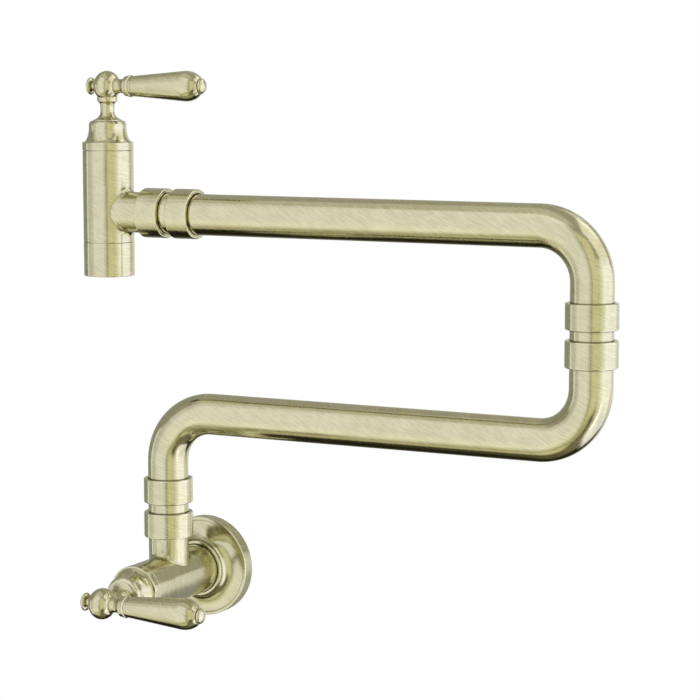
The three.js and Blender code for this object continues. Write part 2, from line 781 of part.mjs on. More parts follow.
// The hub: a sleeve on the stem's spline, a waisted neck, and a bead with the lever's shank.
function handleHub() {
  const { sleeveRadius, waistRadius, ringRadius, beadRadius } = HANDLE;
  const waistHeight = bonnetTop + HANDLE.waistRise;
  const collarBottom = bonnetTop + HANDLE.ringRise;
  const collarTop = collarBottom + HANDLE.ringWidth;
  const neckBottom = bonnetTop + SEAT;
  const neckTop = leverHeight - beadRadius / 2;
  const trumpet = arc(
    sleeveRadius, waistHeight, sleeveRadius - waistRadius, waistHeight - neckBottom, 270, 180, 4,
  );
  const throat = arc(
    ringRadius, waistHeight, ringRadius - waistRadius, collarBottom - waistHeight, 180, 100, 3,
  );
  const neck = turned([
    [0, sleeveBottom],
    [sleeveRadius, sleeveBottom],
    ...trumpet,
    ...throat.slice(1),
    [ringRadius, collarBottom],
    [ringRadius, collarTop],
    [waistRadius, neckTop],
    [0, neckTop],
  ], ROUND.lever);
  const lever = alongX(turned(leverBead(), ROUND.lever)).translate([0, 0, leverHeight]);
  const spline = cylinder(STEM.radius + FIT, sleeveBottom - PAST, splineTop + SEAT, ROUND.inner);
  const holeRadius = STUD.radius + FIT;
  const studHole = cylinder(
    holeRadius, HANDLE.shankReach - STUD.hubDepth, HANDLE.shankReach + PAST, ROUND.small,
  );
  const buttonHole = cylinder(
    holeRadius, -BUTTON.seat - PAST, STUD.hubDepth - BUTTON.seat, ROUND.small,
  );
  const holes = alongX(studHole.add(buttonHole)).translate([0, 0, leverHeight]);
  const grubHole = alongY(cylinder(GRUB.radius + FIT, 0, sleeveRadius + PAST, ROUND.small));
  const grubHeight = sleeveBottom + GRUB.rise;
  return neck.add(lever).subtract(spline).subtract(holes)
    .subtract(grubHole.translate([0, 0, grubHeight]));
}

// Outline of the bead and the shank, turned about the lever's axis.
function leverBead() {
  const { beadRadius, beadHalfLength, shankRadius, shankReach, shankFlare } = HANDLE;
  const { seat, seatRadius } = BUTTON;
  const seatAngle = THREE.MathUtils.radToDeg(Math.asin(seatRadius / beadRadius));
  const shankAngle = THREE.MathUtils.radToDeg(Math.asin(shankRadius / beadRadius));
  const bead = arc(0, 0, beadHalfLength, beadRadius, 180 - seatAngle, shankAngle, 7);
  return [
    [0, -seat],
    [seatRadius, -seat],
    ...bead.map(([x, r]) => [r, x]),
    [shankRadius, shankReach - shankFlare],
    [FERRULE.endRadius, shankReach],
    [0, shankReach],
  ];
}

function hubButton() {
  const { reach, radius, seat, footRadius, brimRadius, brimHeight, pegLength } = BUTTON;
  const start = seat + SEAT;
  const middle = (start + reach) / 2;
  const crown = reach - middle;
  const head = turned([
    [0, start],
    [footRadius, start],
    [brimRadius, start + brimHeight],
    ...arc(0, middle, radius, crown, 0, 90, 3).slice(0, -1),
    [0, reach],
  ], ROUND.lever);
  const peg = cylinder(STUD.radius, start - pegLength, start + PAST, ROUND.small);
  return head.add(peg).rotate([0, -90, 0]).translate([0, 0, leverHeight]);
}

// A turned piece of the lever, given as [reach, radius] points with a bore for the stud.
function leverPiece(points) {
  const bore = STUD.radius + FIT;
  const first = points[0][0];
  const last = points[points.length - 1][0];
  const outline = [[bore, first], ...points.map(([x, r]) => [r, x]), [bore, last]];
  return alongX(turned(outline, ROUND.lever)).translate([0, 0, leverHeight]);
}

const ferruleStart = HANDLE.shankReach + SEAT;
const ferruleEnd = ferruleStart + FERRULE.length;
const gripStart = ferruleEnd + SEAT;
const finialStart = GRIP.endReach + SEAT;

function leverFerrule() {
  const { peakRadius, peakReach, peakWidth, endRadius, endWidth } = FERRULE;
  return leverPiece([
    [ferruleStart, endRadius],
    [peakReach - peakWidth / 2, peakRadius],
    [peakReach + peakWidth / 2, peakRadius],
    [ferruleEnd - endWidth, endRadius],
    [ferruleEnd, endRadius],
  ]);
}

function leverGrip() {
  const { endReach, widestReach, startRadius, radius, nose } = GRIP;
  const endAngle = THREE.MathUtils.radToDeg(Math.acos((endReach - widestReach) / nose));
  return leverPiece([
    [gripStart, startRadius],
    ...arc(widestReach, 0, nose, radius, 90, endAngle, 4),
  ]);
}

function leverFinial() {
  const { length, radius, footRadius, brimHeight } = FINIAL;
  const reach = finialStart + length;
  const middle = finialStart + brimHeight;
  const cap = turned([
    [0, finialStart],
    [footRadius, finialStart],
    ...arc(0, middle, radius, reach - middle, 0, 90, 3).slice(0, -1),
    [0, reach],
  ], ROUND.lever);
  const hole = cylinder(STUD.radius + FIT, finialStart - PAST, studEnd + SEAT, ROUND.small);
  return alongX(cap.subtract(hole)).translate([0, 0, leverHeight]);
}

const studStart = HANDLE.shankReach - STUD.hubDepth + SEAT;
const studEnd = finialStart + STUD.finialDepth;

function leverStud() {
  const rod = cylinder(STUD.radius, studStart, studEnd, ROUND.small);
  return alongX(rod).translate([0, 0, leverHeight]);
}

// The grub screw bears on the stem through the side of the sleeve.
function grubScrew() {
  const inner = STEM.radius + SEAT;
  const outer = HANDLE.sleeveRadius - SEAT;
  const screw = cylinder(GRUB.radius, inner, outer, ROUND.small);
  return alongY(screw).translate([0, 0, sleeveBottom + GRUB.rise]);
}

// The pieces that stay with the valve body, and those that turn with the lever.
function valveTop(prefix) {
  return [
    piece(`${prefix}_cartridge_body`, cartridgeBody(), BARE_BRASS),
    piece(`${prefix}_seat_seal`, seatSeal(), RUBBER),
    piece(`${prefix}_fixed_disc`, fixedDisc(), CERAMIC),
    piece(`${prefix}_bonnet`, bonnet(), BRUSHED_BRASS),
  ];
}

function handleSet(prefix) {
  return [
    piece(`${prefix}_turning_disc`, turningDisc(), CERAMIC),
    piece(`${prefix}_stem`, stem(), BARE_BRASS),
    piece(`${prefix}_stem_seal`, stemSeal(), RUBBER),
    piece(`${prefix}_handle_hub`, handleHub(), BRUSHED_BRASS),
    piece(`${prefix}_hub_button`, hubButton(), BRUSHED_BRASS),
    piece(`${prefix}_lever_ferrule`, leverFerrule(), BRUSHED_BRASS),
    piece(`${prefix}_lever_grip`, leverGrip(), BRUSHED_BRASS),
    piece(`${prefix}_lever_finial`, leverFinial(), BRUSHED_BRASS),
    piece(`${prefix}_lever_stud`, leverStud(), STEEL),
    piece(`${prefix}_grub_screw`, grubScrew(), STEEL),
  ];
}

// ---------------------------------------------------------------- wall plate and supply

// Heights are measured from the wall. The dish is hollow behind and its boss rings the body.
function wallRosette() {
  const { radius, rimHeight, rimEdge, beadWidth, beadEdge, beadStep, bodyGap } = ROSETTE;
  const { bossRadius, bossHeight, bossLip, shell, backDepth, bossBackDepth } = ROSETTE;
  const bore = BODY.radius + bodyGap;
  const dishRadius = radius - beadWidth;
  const dishHeight = rimHeight - beadStep;
  const dishTop = bossHeight - bossLip;
  const grooveFloorRadius = gripRingRadius + GRIP_RING.section + FIT / 2;
  const halfGroove = GRIP_RING.section + FIT;
  return turned([
    [radius - shell, 0],
    [radius, 0],
    ...highEdge(radius, rimHeight, rimEdge),
    [dishRadius + beadEdge, rimHeight],
    ...arc(dishRadius, dishTop, dishRadius - bossRadius, dishTop - dishHeight, 270, 180, 5),
    ...arc(bossRadius - bossLip, dishTop, bossLip, bossLip, 30, 90, 2),
    [bore, bossHeight],
    [bore, GRIP_RING.height + halfGroove],
    [grooveFloorRadius, GRIP_RING.height + halfGroove],
    [grooveFloorRadius, GRIP_RING.height - halfGroove],
    [bore, GRIP_RING.height - halfGroove],
    [bore, bossBackDepth],
    [bossRadius + shell, bossBackDepth],
    [radius - shell, backDepth],
  ], ROUND.rosette);
}

const gripRingRadius = BODY.radius + FIT / 2 + GRIP_RING.section;

function gripRing() {
  return roundRing(gripRingRadius, GRIP_RING.section, GRIP_RING.height, ROUND.outer);
}

function inletNipple() {
  const { radius, bore, behindWall, inBody, edge } = NIPPLE;
  const back = -behindWall;
  const front = WALL_BODY.endGap + inBody;
  return turned([
    [bore, back],
    [radius - edge, back],
    [radius, back + edge],
    [radius, front],
    [bore, front],
  ], ROUND.bore);
}

function inletGasket() {
  const bottom = WALL_BODY.endGap + NIPPLE.inBody + SEAT / 2;
  const { thickness, wall } = GASKET;
  return sleeve(NIPPLE.radius, NIPPLE.radius - wall, bottom, bottom + thickness, ROUND.inner);
}

// ---------------------------------------------------------------- outlet

// Heights are measured from the ring's lower lip.
const housingBottom = OUTLET.lipThickness + SEAT;
const housingTop = housingBottom + AERATOR.height;
const housingRadius = BODY.threadRadius - FIT;
const housingBore = housingRadius - AERATOR.wall;
const screenBottom = housingBottom + AERATOR.ledgeHeight + SEAT;

function outletRing() {
  const { height, lipBore, lipThickness, lipEdge } = OUTLET;
  const bore = BODY.threadRadius + FIT;
  return turned([
    [lipBore, 0],
    ...lowEdge(BODY.radius, 0, lipEdge),
    ...highEdge(BODY.radius, height - SEAT, BODY.edge),
    [bore, height - SEAT],
    [bore, lipThickness],
    [lipBore, lipThickness],
  ], ROUND.outer);
}

function aeratorHousing() {
  const ledgeBore = housingBore - AERATOR.ledge;
  const ledgeTop = housingBottom + AERATOR.ledgeHeight;
  return turned([
    [ledgeBore, housingBottom],
    [housingRadius, housingBottom],
    [housingRadius, housingTop],
    [housingBore, housingTop],
    [housingBore, ledgeTop],
    [ledgeBore, ledgeTop],
  ], ROUND.bore);
}

// The screen's slots are shorter towards its edge, so that each ends at the same margin.
function aeratorScreen() {
  const radius = housingBore - FIT;
  const { count, width, pitch, margin } = SLOTS;
  const thickness = AERATOR.screen;
  let plate = cylinder(radius, screenBottom, screenBottom + thickness, ROUND.bore);
  for (let i = 0; i < count; i += 1) {
    const offset = (i - (count - 1) / 2) * pitch;
    const edge = Math.abs(offset) + width / 2;
    const length = 2 * Math.sqrt((radius - margin) ** 2 - edge ** 2);
    const middle = screenBottom + thickness / 2;
    plate = plate.subtract(box(length, width, 2 * thickness, 0, offset, middle));
  }
  return plate;
}

function aeratorWasher() {
  const top = OUTLET.height - SPOUT_BODY.threadHeight - SEAT / 2;
  const bottom = top - AERATOR_WASHER.thickness;
  const bore = housingRadius - AERATOR_WASHER.wall;
  return sleeve(housingRadius, bore, bottom, top, ROUND.inner);
}

// ---------------------------------------------------------------- assembly

const lowerArmHeight = WALL_BRANCH_REACH + LOWER_ARM_RISE;
const elbowFoot = lowerArmHeight + BEND_RADIUS + ELBOW_STRAIGHT;
const upperArmHeight = elbowFoot + UPPER_ARM_RISE;
const elbowX = LOWER_ARM_REACH;
const spoutX = LOWER_ARM_REACH - UPPER_ARM_REACH;
const spoutSeam = upperArmHeight + SPOUT_BODY.branchDepth;

function group(pieces, place = [0, 0, 0]) {
  const made = new THREE.Group();
  made.position.set(...place);
  made.add(...pieces);
  return made;
}

// A frame whose +Z points out of the wall and whose +Y points up.
function facingRoom(pieces, fromWall = 0) {
  const made = group(pieces, [0, -fromWall, 0]);
  made.rotation.x = Math.PI / 2;
  return made;
}

// A frame whose +Z points along +X.
function lyingAlongX(pieces, place) {
  const made = group(pieces, place);
  made.rotation.y = Math.PI / 2;
  return made;
}

// Tube corners in a frame with its origin on the arm's own swivel axis.
function lowerArmTube() {
  return bentTube([
    new THREE.Vector3(0, 0, WALL_BRANCH_REACH + tubeStart),
    new THREE.Vector3(0, 0, lowerArmHeight),
    new THREE.Vector3(elbowX, 0, lowerArmHeight),
    new THREE.Vector3(elbowX, 0, elbowFoot),
  ]);
}

function upperArmTube() {
  return bentTube([
    new THREE.Vector3(0, 0, elbowFoot + tubeStart),
    new THREE.Vector3(0, 0, upperArmHeight),
    new THREE.Vector3(SPOUT_BRANCH_REACH + tubeStart - UPPER_ARM_REACH, 0, upperArmHeight),
  ]);
}

function fixedBody() {
  return group([
    facingRoom([
      piece('wall_rosette', wallRosette(), BRUSHED_BRASS),
      piece('rosette_grip_ring', gripRing(), RUBBER),
      piece('inlet_nipple', inletNipple(), BARE_BRASS),
      piece('inlet_gasket', inletGasket(), RUBBER),
    ]),
    facingRoom([
      piece('wall_valve_body', wallValveBody(), BRUSHED_BRASS),
      ...valveTop('wall'),
    ], WALL_BODY.seamFromWall),
    group(swivelSocketSide('wall_swivel'), [0, -WALL_TO_SWIVEL, WALL_BRANCH_REACH]),
  ]);
}

function lowerArm() {
  return group([
    group(swivelTubeSide('wall_swivel'), [0, 0, WALL_BRANCH_REACH]),
    piece('lower_arm_tube', lowerArmTube(), BRUSHED_BRASS),
    group([
      piece('elbow_socket', socketInsert(), BARE_BRASS),
      ...swivelSocketSide('elbow_swivel'),
    ], [elbowX, 0, elbowFoot]),
  ], [0, -WALL_TO_SWIVEL, 0]);
}

function spout() {
  const lip = spoutSeam - SPOUT_BODY.length - OUTLET.height;
  return group([
    group([
      piece('spout_valve_body', spoutValveBody(), BRUSHED_BRASS),
      ...valveTop('spout'),
    ], [0, 0, spoutSeam]),
    group([
      piece('outlet_ring', outletRing(), BRUSHED_BRASS),
      piece('aerator_housing', aeratorHousing(), PLASTIC),
      piece('aerator_screen', aeratorScreen(), STEEL),
      piece('aerator_washer', aeratorWasher(), RUBBER),
    ], [0, 0, lip]),
    lyingAlongX(unionSet('spout_union'), [SPOUT_BRANCH_REACH, 0, upperArmHeight]),
  ], [-UPPER_ARM_REACH, 0, 0]);
}

function upperArm() {
  return group([
    group(swivelTubeSide('elbow_swivel'), [0, 0, elbowFoot]),
    piece('upper_arm_tube', upperArmTube(), BRUSHED_BRASS),
    spout(),
  ], [elbowX, -WALL_TO_SWIVEL, 0]);
}

const potFiller = group([
  fixedBody(),
  facingRoom(handleSet('wall'), WALL_BODY.seamFromWall),
  lowerArm(),
  upperArm(),
  group(handleSet('spout'), [spoutX, -WALL_TO_SWIVEL, spoutSeam]),
]);

export default potFiller;
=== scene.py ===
"""Wall mounted pot filler in pale brushed brass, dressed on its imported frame.

Sizes are in millimetres and become metres when a mesh is made. Each piece stands where the frame
holds the node that it stands for, and its outline is given in that node's own axes.
"""

from __future__ import annotations

import json
import logging
import math
from collections.abc import Callable, Iterable, Mapping, Sequence
from dataclasses import dataclass, field
from enum import Enum

import bmesh
import bpy
from mathutils import Matrix, Vector

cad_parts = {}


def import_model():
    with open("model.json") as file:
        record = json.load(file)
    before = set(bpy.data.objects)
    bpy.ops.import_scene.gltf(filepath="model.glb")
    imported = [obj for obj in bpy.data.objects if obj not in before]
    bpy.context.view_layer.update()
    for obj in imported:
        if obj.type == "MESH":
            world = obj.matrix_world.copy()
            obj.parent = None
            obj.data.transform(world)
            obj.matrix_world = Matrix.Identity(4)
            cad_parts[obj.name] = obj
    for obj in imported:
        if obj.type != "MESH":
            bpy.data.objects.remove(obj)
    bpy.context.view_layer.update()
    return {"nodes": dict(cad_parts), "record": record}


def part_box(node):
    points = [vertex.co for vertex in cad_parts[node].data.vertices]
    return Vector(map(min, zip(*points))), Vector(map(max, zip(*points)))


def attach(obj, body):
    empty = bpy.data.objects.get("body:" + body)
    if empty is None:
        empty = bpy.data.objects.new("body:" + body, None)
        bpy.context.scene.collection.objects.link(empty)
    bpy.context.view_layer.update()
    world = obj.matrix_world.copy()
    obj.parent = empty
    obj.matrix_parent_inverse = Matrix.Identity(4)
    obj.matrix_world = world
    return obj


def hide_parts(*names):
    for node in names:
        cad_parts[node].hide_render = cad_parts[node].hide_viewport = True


log = logging.getLogger("pot_filler")

MM = 0.001
SMOOTH_ANGLE = math.radians(32)
WELD = 0.002
TUBE_WELD = 0.02
ON_AXIS = 1e-6
FACETS = 96
UP_WAY = (0.0, 0.0, 1.0)

# How corners are rounded: chords in each arc, the share of a side that an arc may take, the half
# angle past which a corner is straight, and the flat held beside an arc, as a share of its radius.
CORNER_STEPS = 5
CORNER_ROOM = 0.48
STRAIGHT = math.radians(88)
HOLD_SHARE = 0.25
LEAST_HOLD = 0.01

# The bend, in radians per metre, at which an edge takes the full paler colour, partly rubbed
# and partly a painted highlight, and an inward bend the full painted shade, and the least width
# of the faces beside an edge and least length of an edge, in metres.
FULL_WEAR_AND_HIGHLIGHT = 1500
FULL_PAINTED_SHADE = 2500
LEAST_SPAN = 2e-5
LEAST_LENGTH = 1e-9

# How much of each finer layer a noise holds.
NOISE_FALL = 0.55

# The nipple's thread: chords in a turn and sides of its ridge. The screen: the share of its
# radius that the wires span, and the lift of the upper wires, in wire widths.
TURN_STEPS = 48
RIDGE_SIDES = 4
SCREEN_SPAN = 0.93
WIRE_LIFT = 0.8

Point = tuple[float, float]
Spot = tuple[float, float, float]
Colour = tuple[float, float, float]
Inputs = Mapping[str | int, object]


# ---- outlines


@dataclass(frozen=True)
class Corner:
    """A corner of a turned outline, with the radius that rounds it."""

    radius: float
    height: float
    rounding: float = 0.0


def arc(centre: Point, radii: Point, start: float, stop: float, steps: int) -> list[Point]:
    """Points of an elliptical arc.

    Args:
        centre: Its centre, as radius and height.
        radii: Half axes along radius and height.
        start: First angle in degrees, from the outward direction.
        stop: Last angle in degrees.
        steps: Number of chords.

    Returns:
        The points, both ends included.
    """
    turns = [math.radians(start + (stop - start) * i / steps) for i in range(steps + 1)]
    return [
        (centre[0] + radii[0] * math.cos(turn), centre[1] + radii[1] * math.sin(turn))
        for turn in turns
    ]


def swoop(first: Point, handle: Point, last: Point, steps: int = 12) -> list[Point]:
    """Points of a curve that leaves its first point towards a handle and arrives from it.

    Args:
        first: Its first point, as radius and height.
        handle: Where the tangents at both ends meet.
        last: Its last point.
        steps: Number of chords.

    Returns:
        The points, both ends included.
    """
    shares = [i / steps for i in range(steps + 1)]
    a, b, c = (Vector(point) for point in (first, handle, last))
    return [tuple(a * (1 - t) ** 2 + b * 2 * t * (1 - t) + c * t * t) for t in shares]


def rounded(corner: Corner, before: Point, after: Point) -> list[Point]:
    """Replaces a corner with an arc, and holds the flats on both sides of it straight.

    Args:
        corner: The corner, with its rounding.
        before: The outline's point before it.
        after: The outline's point after it.

    Returns:
        The points that stand for the corner.
    """
    here = Vector((corner.radius, corner.height))
    back = Vector(before) - here
    ahead = Vector(after) - here
    if corner.rounding <= 0:
        return [tuple(here)]
    room = CORNER_ROOM * min(back.length, ahead.length)
    back.normalize()
    ahead.normalize()
    half = back.angle(ahead) / 2
    if half > STRAIGHT:
        return [tuple(here)]
    reach = min(corner.rounding / math.tan(half), room)
    radius = reach * math.tan(half)
    centre = here + (back + ahead).normalized() * (radius / math.sin(half))
    first = here + back * reach - centre
    step = -first.angle_signed(here + ahead * reach - centre) / CORNER_STEPS
    points = [
        tuple(centre + Matrix.Rotation(step * i, 2) @ first) for i in range(CORNER_STEPS + 1)
    ]
    hold = min(HOLD_SHARE * radius, room - reach)
    if hold > LEAST_HOLD:
        points.insert(0, tuple(here + back * (reach + hold)))
        points.append(tuple(here + ahead * (reach + hold)))
    return points


def outline(parts: Sequence[Corner | Point]) -> list[Point]:
    """Joins corners and plain points into one closed outline.

    Args:
        parts: Corners to round and points to keep.

    Returns:
        Radius and height of each point.
    """
    spots = [(part.radius, part.height) if isinstance(part, Corner) else part for part in parts]
    points: list[Point] = []
    for i, part in enumerate(parts):
        if isinstance(part, Corner):
            points.extend(rounded(part, spots[i - 1], spots[(i + 1) % len(spots)]))
        else:
            points.append(part)
    return points


# ---- meshes


def on_circle(radius: float, turn: float, height: float) -> Spot:
    """A point on a circle about the local Z axis."""
    return radius * math.cos(turn), radius * math.sin(turn), height


@dataclass
class Shell:
    """A mesh in the making, in millimetres."""

    points: list[Vector] = field(default_factory=list)
    faces: list[tuple[int, ...]] = field(default_factory=list)

    def row(self, points: Iterable[Iterable[float]]) -> list[int]:
        """Adds a row of points.

        Args:
            points: The points, in order.

        Returns:
            Their numbers.
        """
        start = len(self.points)
        self.points.extend(Vector(point) for point in points)
        return list(range(start, len(self.points)))

    def bridge(self, first: Sequence[int], second: Sequence[int], around: bool = True) -> None:
        """Joins two rows of points with faces.

        Args:
            first: Numbers of one row; a row of one is a pole.
            second: Numbers of the next row.
            around: Whether the rows close on themselves.
        """
        count = max(len(first), len(second))
        for i in range(count if around else count - 1):
            j = (i + 1) % count
            ring = [first[i % len(first)], first[j % len(first)]]
            ring += [second[j % len(second)], second[i % len(second)]]
            corners = tuple(dict.fromkeys(ring))
            if len(corners) > 2:
                self.faces.append(corners)

    def loft(self, rows: Sequence[Sequence[int]], around: bool = True) -> None:
        """Joins each row to the next."""
        for first, second in zip(rows, rows[1:]):
            self.bridge(first, second, around)

    def mesh(self, name: str, place: Matrix) -> bpy.types.Mesh:
        """Makes the Blender mesh, welded and facing out.

        Args:
            name: The mesh's name.
            place: Where the shell's own axes stand, in metres.

        Returns:
            The finished mesh, at its place in metres.
        """
        data = bpy.data.meshes.new(name)
        data.from_pydata([tuple(p) for p in self.points], [], self.faces)
        work = bmesh.new()
        work.from_mesh(data)
        bmesh.ops.remove_doubles(work, verts=work.verts, dist=WELD)
        bmesh.ops.recalc_face_normals(work, faces=work.faces)
        work.to_mesh(data)
        work.free()
        data.transform(place @ Matrix.Scale(MM, 4))
        return data


def turned(points: Sequence[Point], facets: int = FACETS) -> Shell:
    """Turns a closed outline about the local Z axis.

    Args:
        points: Radius and height of each point; one on the axis becomes a pole.
        facets: Faces round the axis.

    Returns:
        The turned shell.
    """
    shell = Shell()
    rows = []
    for radius, height in points:
        count = facets if radius > ON_AXIS else 1
        turns = [2 * math.pi * i / facets for i in range(count)]
        rows.append(shell.row(on_circle(radius, turn, height) for turn in turns))
    shell.loft([*rows, rows[0]])
    return shell


def middle(node: str) -> Vector:
    """The middle of a node's box, in metres."""
    low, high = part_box(node)
    return (low + high) / 2


def sides(node: str) -> Vector:
    """The sides of a node's box, in millimetres."""
    low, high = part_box(node)
    return (high - low) / MM


def lift(height: float) -> Matrix:
    """A move along the local Z axis, in millimetres."""
    return Matrix.Translation((0.0, 0.0, height * MM))


class Facing(Enum):
    """The way that a piece's own Z axis points, as its X, Y and Z axes."""

    UP = ((1, 0, 0), (0, 1, 0), (0, 0, 1))
    ROOM = ((1, 0, 0), (0, 0, 1), (0, -1, 0))
    RIGHT = ((0, 1, 0), (0, 0, 1), (1, 0, 0))

    def foot(self, node: str) -> Matrix:
        """The place at the foot of a node's box, on its middle line.

        Args:
            node: The node.

        Returns:
            The place, with its Z axis facing this way.
        """
        way = self.value[2]
        axis = next(i for i, part in enumerate(way) if part)
        spot = middle(node)
        spot[axis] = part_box(node)[0 if way[axis] > 0 else 1][axis]
        return Matrix.Translation(spot) @ Matrix(self.value).transposed().to_4x4()


def linked(name: str, data: bpy.types.ID) -> bpy.types.Object:
    """Adds an object to the scene, at the origin.

    Args:
        name: The object's name.
        data: Its mesh, curve, lamp or camera.

    Returns:
        The object.
    """
    made = bpy.data.objects.new(name, data)
    bpy.context.scene.collection.objects.link(made)
    return made


def evaluated(source: bpy.types.Object, name: str) -> bpy.types.Mesh:
    """Bakes an object's modifiers into a plain mesh and deletes the object.

    Args:
        source: An object with modifiers.
        name: The new mesh's name.

    Returns:
        The plain mesh.
    """
    graph = bpy.context.evaluated_depsgraph_get()
    data = bpy.data.meshes.new_from_object(source.evaluated_get(graph))
    data.name = name
    bpy.data.objects.remove(source)
    return data


def united(name: str, first: bpy.types.Mesh, second: bpy.types.Mesh) -> bpy.types.Mesh:
    """Joins two closed meshes into one body.

    Args:
        name: The new mesh's name.
        first: One mesh.
        second: The other.

    Returns:
        The joined mesh.
    """
    base = linked(f"{name}_base", first)
    other = linked(f"{name}_other", second)
    join = base.modifiers.new("join", "BOOLEAN")
    join.operation = "UNION"
    join.solver = "EXACT"
    join.object = other
    data = evaluated(base, name)
    bpy.data.objects.remove(other)
    return data


# ---- node trees


def operator(operation: str, reflected: bool = False) -> Callable[[Wire, object], Wire]:
    """Makes the method of an operator, which adds one Math node.

    Args:
        operation: The node's operation.
        reflected: Whether the other value comes first.

    Returns:
        The method.
    """

    def apply(self: Wire, other: object) -> Wire:
        """Adds the node to the tree of this value."""
        first, second = (other, self) if reflected else (self, other)
        return self.tree.node("ShaderNodeMath", {"operation": operation}, {0: first, 1: second})

    return apply


@dataclass(frozen=True)
class Wire:
    """One output of a node, which takes part in Python expressions."""

    tree: Tree
    source: bpy.types.Node
    key: str | int = 0

    __add__, __radd__ = operator("ADD"), operator("ADD", True)
    __sub__, __rsub__ = operator("SUBTRACT"), operator("SUBTRACT", True)
    __mul__, __rmul__ = operator("MULTIPLY"), operator("MULTIPLY", True)

    def out(self, key: str | int) -> Wire:
        """Another output of the same node."""
        return Wire(self.tree, self.source, key)


class Tree:
    """A node tree that is built by calls."""

    def __init__(self, nodes: bpy.types.NodeTree) -> None:
        """Starts from a tree and empties it."""
        self.tree = nodes
        self.tree.nodes.clear()

    def node(
        self,
        kind: str,
        settings: Mapping[str, object] | None = None,
        inputs: Inputs | None = None,
        output: str | int = 0,
    ) -> Wire:
        """Adds a node, sets it and feeds it.

        Args:
            kind: The node's type.
            settings: Its own settings, which are set first.
            inputs: Values or links of its sockets, by name or number; a list links them all.
            output: Name or number of the output that is wanted.

        Returns:
            The output as a value for expressions.
        """
        made = self.tree.nodes.new(kind)
        for key, value in (settings or {}).items():
            setattr(made, key, value)
        for key, value in (inputs or {}).items():
            socket = made.inputs[key]
            for source in value if isinstance(value, list) else [value]:
                if isinstance(source, Wire):
                    self.tree.links.new(source.source.outputs[source.key], socket)
                else:
                    socket.default_value = source
        return Wire(self, made, output)


class Paint(Tree):
    """A material's or the world's tree."""

    def noise(self, where: Wire, scale: float, detail: float = 2.0) -> Wire:
        """Noise from 0 to 1 at a place."""
        inputs = {"Vector": where, "Scale": scale, "Detail": detail, "Roughness": NOISE_FALL}
        return self.node("ShaderNodeTexNoise", None, inputs)

    def spread(self, value: Wire, low: float, high: float) -> Wire:
        """Stretches the range from low to high over 0 to 1."""
        inputs = {"Value": value, "From Min": low, "From Max": high}
        return self.node("ShaderNodeMapRange", {"interpolation_type": "SMOOTHSTEP"}, inputs)

    def blend(self, share: object, first: Wire | Colour, second: Wire | Colour) -> Wire:
        """Mixes two colours by a share."""
        ends = {i: c if isinstance(c, Wire) else rgba(c) for i, c in ((6, first), (7, second))}
        return self.node("ShaderNodeMix", {"data_type": "RGBA"}, {0: share, **ends}, 2)

    def along(self, way: Wire, axis: Vector) -> Wire:
        """How far a direction runs along an axis, from -1 to 1."""
        settings = {"operation": "DOT_PRODUCT"}
        return self.node("ShaderNodeVectorMath", settings, {0: way, 1: axis}, 1)

    def bump(self, height: Wire, strength: float, distance: float) -> Wire:
        """The normal of a relief, whose depth is in metres."""
        inputs = {"Strength": strength, "Distance": distance, "Height": height}
        return self.node("ShaderNodeBump", None, inputs)

    def attribute(self, name: str) -> Wire:
        """A number that the mesh holds at each point."""
        return self.node("ShaderNodeAttribute", {"attribute_name": name}, None, "Fac")

    def object_place(self) -> Wire:
        """The point's place on the piece, in metres."""
        return self.node("ShaderNodeTexCoord", None, None, "Object")

    def surface(self, kind: str, inputs: Inputs, end: str = "ShaderNodeOutputMaterial") -> None:
        """Ends the tree in a shader."""
        self.node(end, None, {"Surface": self.node(kind, None, inputs)})


def new_paint(name: str) -> tuple[bpy.types.Material, Paint]:
    """Starts a material.

    Args:
        name: Its name.

    Returns:
        The material and its empty tree.
    """
    made = bpy.data.materials.new(name)
    made.use_nodes = True
    return made, Paint(made.node_tree)


def rgba(colour: Colour) -> tuple[float, float, float, float]:
    """A colour with full alpha."""
    return (*colour, 1.0)


class Growth(Tree):
    """A geometry node tree with named sizes, which ends in one material."""

    def __init__(self, name: str, base: str, sizes: Mapping[str, str]) -> None:
        """Makes the tree and its named inputs.

        Args:
            name: The tree's name.
            base: Name of the input for the object's own geometry.
            sizes: The kind of each other input, by its name.
        """
        super().__init__(bpy.data.node_groups.new(name, "GeometryNodeTree"))
        face = self.tree.interface
        for key, kind in {base: "Geometry", **sizes, "Finish": "Material"}.items():
            face.new_socket(key, in_out="INPUT", socket_type=f"NodeSocket{kind}")
        face.new_socket("Piece", in_out="OUTPUT", socket_type="NodeSocketGeometry")
        self.given = self.node("NodeGroupInput").out

    def close(self, geometry: Wire) -> None:
        """Ends the tree in Realize Instances and Set Material.

        Args:
            geometry: What the tree has made.
        """
        whole = self.node("GeometryNodeRealizeInstances", None, {"Geometry": geometry})
        dressed = self.node("GeometryNodeSetMaterial", None, {
            "Geometry": whole, "Material": self.given("Finish"),
        })
        self.node("NodeGroupOutput", None, {0: dressed})

    def grow(
        self, source: bpy.types.Object, name: str, inputs: Mapping[str, object]
    ) -> bpy.types.Mesh:
        """Puts the tree on an object, with its inputs set, and bakes the result.

        Args:
            source: The object, which is deleted.
            name: The new mesh's name.
            inputs: Values by the input's name.

        Returns:
            The plain mesh.
        """
        modifier = source.modifiers.new(self.tree.name, "NODES")
        modifier.node_group = self.tree
        for socket in self.tree.interface.items_tree:
            if socket.in_out == "INPUT" and socket.name in inputs:
                modifier[socket.identifier] = inputs[socket.name]
        return evaluated(source, name)


# ---- finishes


class Lay(Enum):
    """Which way brush strokes run."""

    SLANTED = "slanted"
    ROUND_VALVE = "round_valve"


@dataclass(frozen=True)
class Grain:
    """A noise whose range from a low to a high level is stretched over 0 to 1."""

    scale: float
    detail: float
    low: float
    high: float

    def over(self, paint: Paint, where: Wire) -> Wire:
        """The grain at a place."""
        return paint.spread(paint.noise(where, self.scale, self.detail), self.low, self.high)


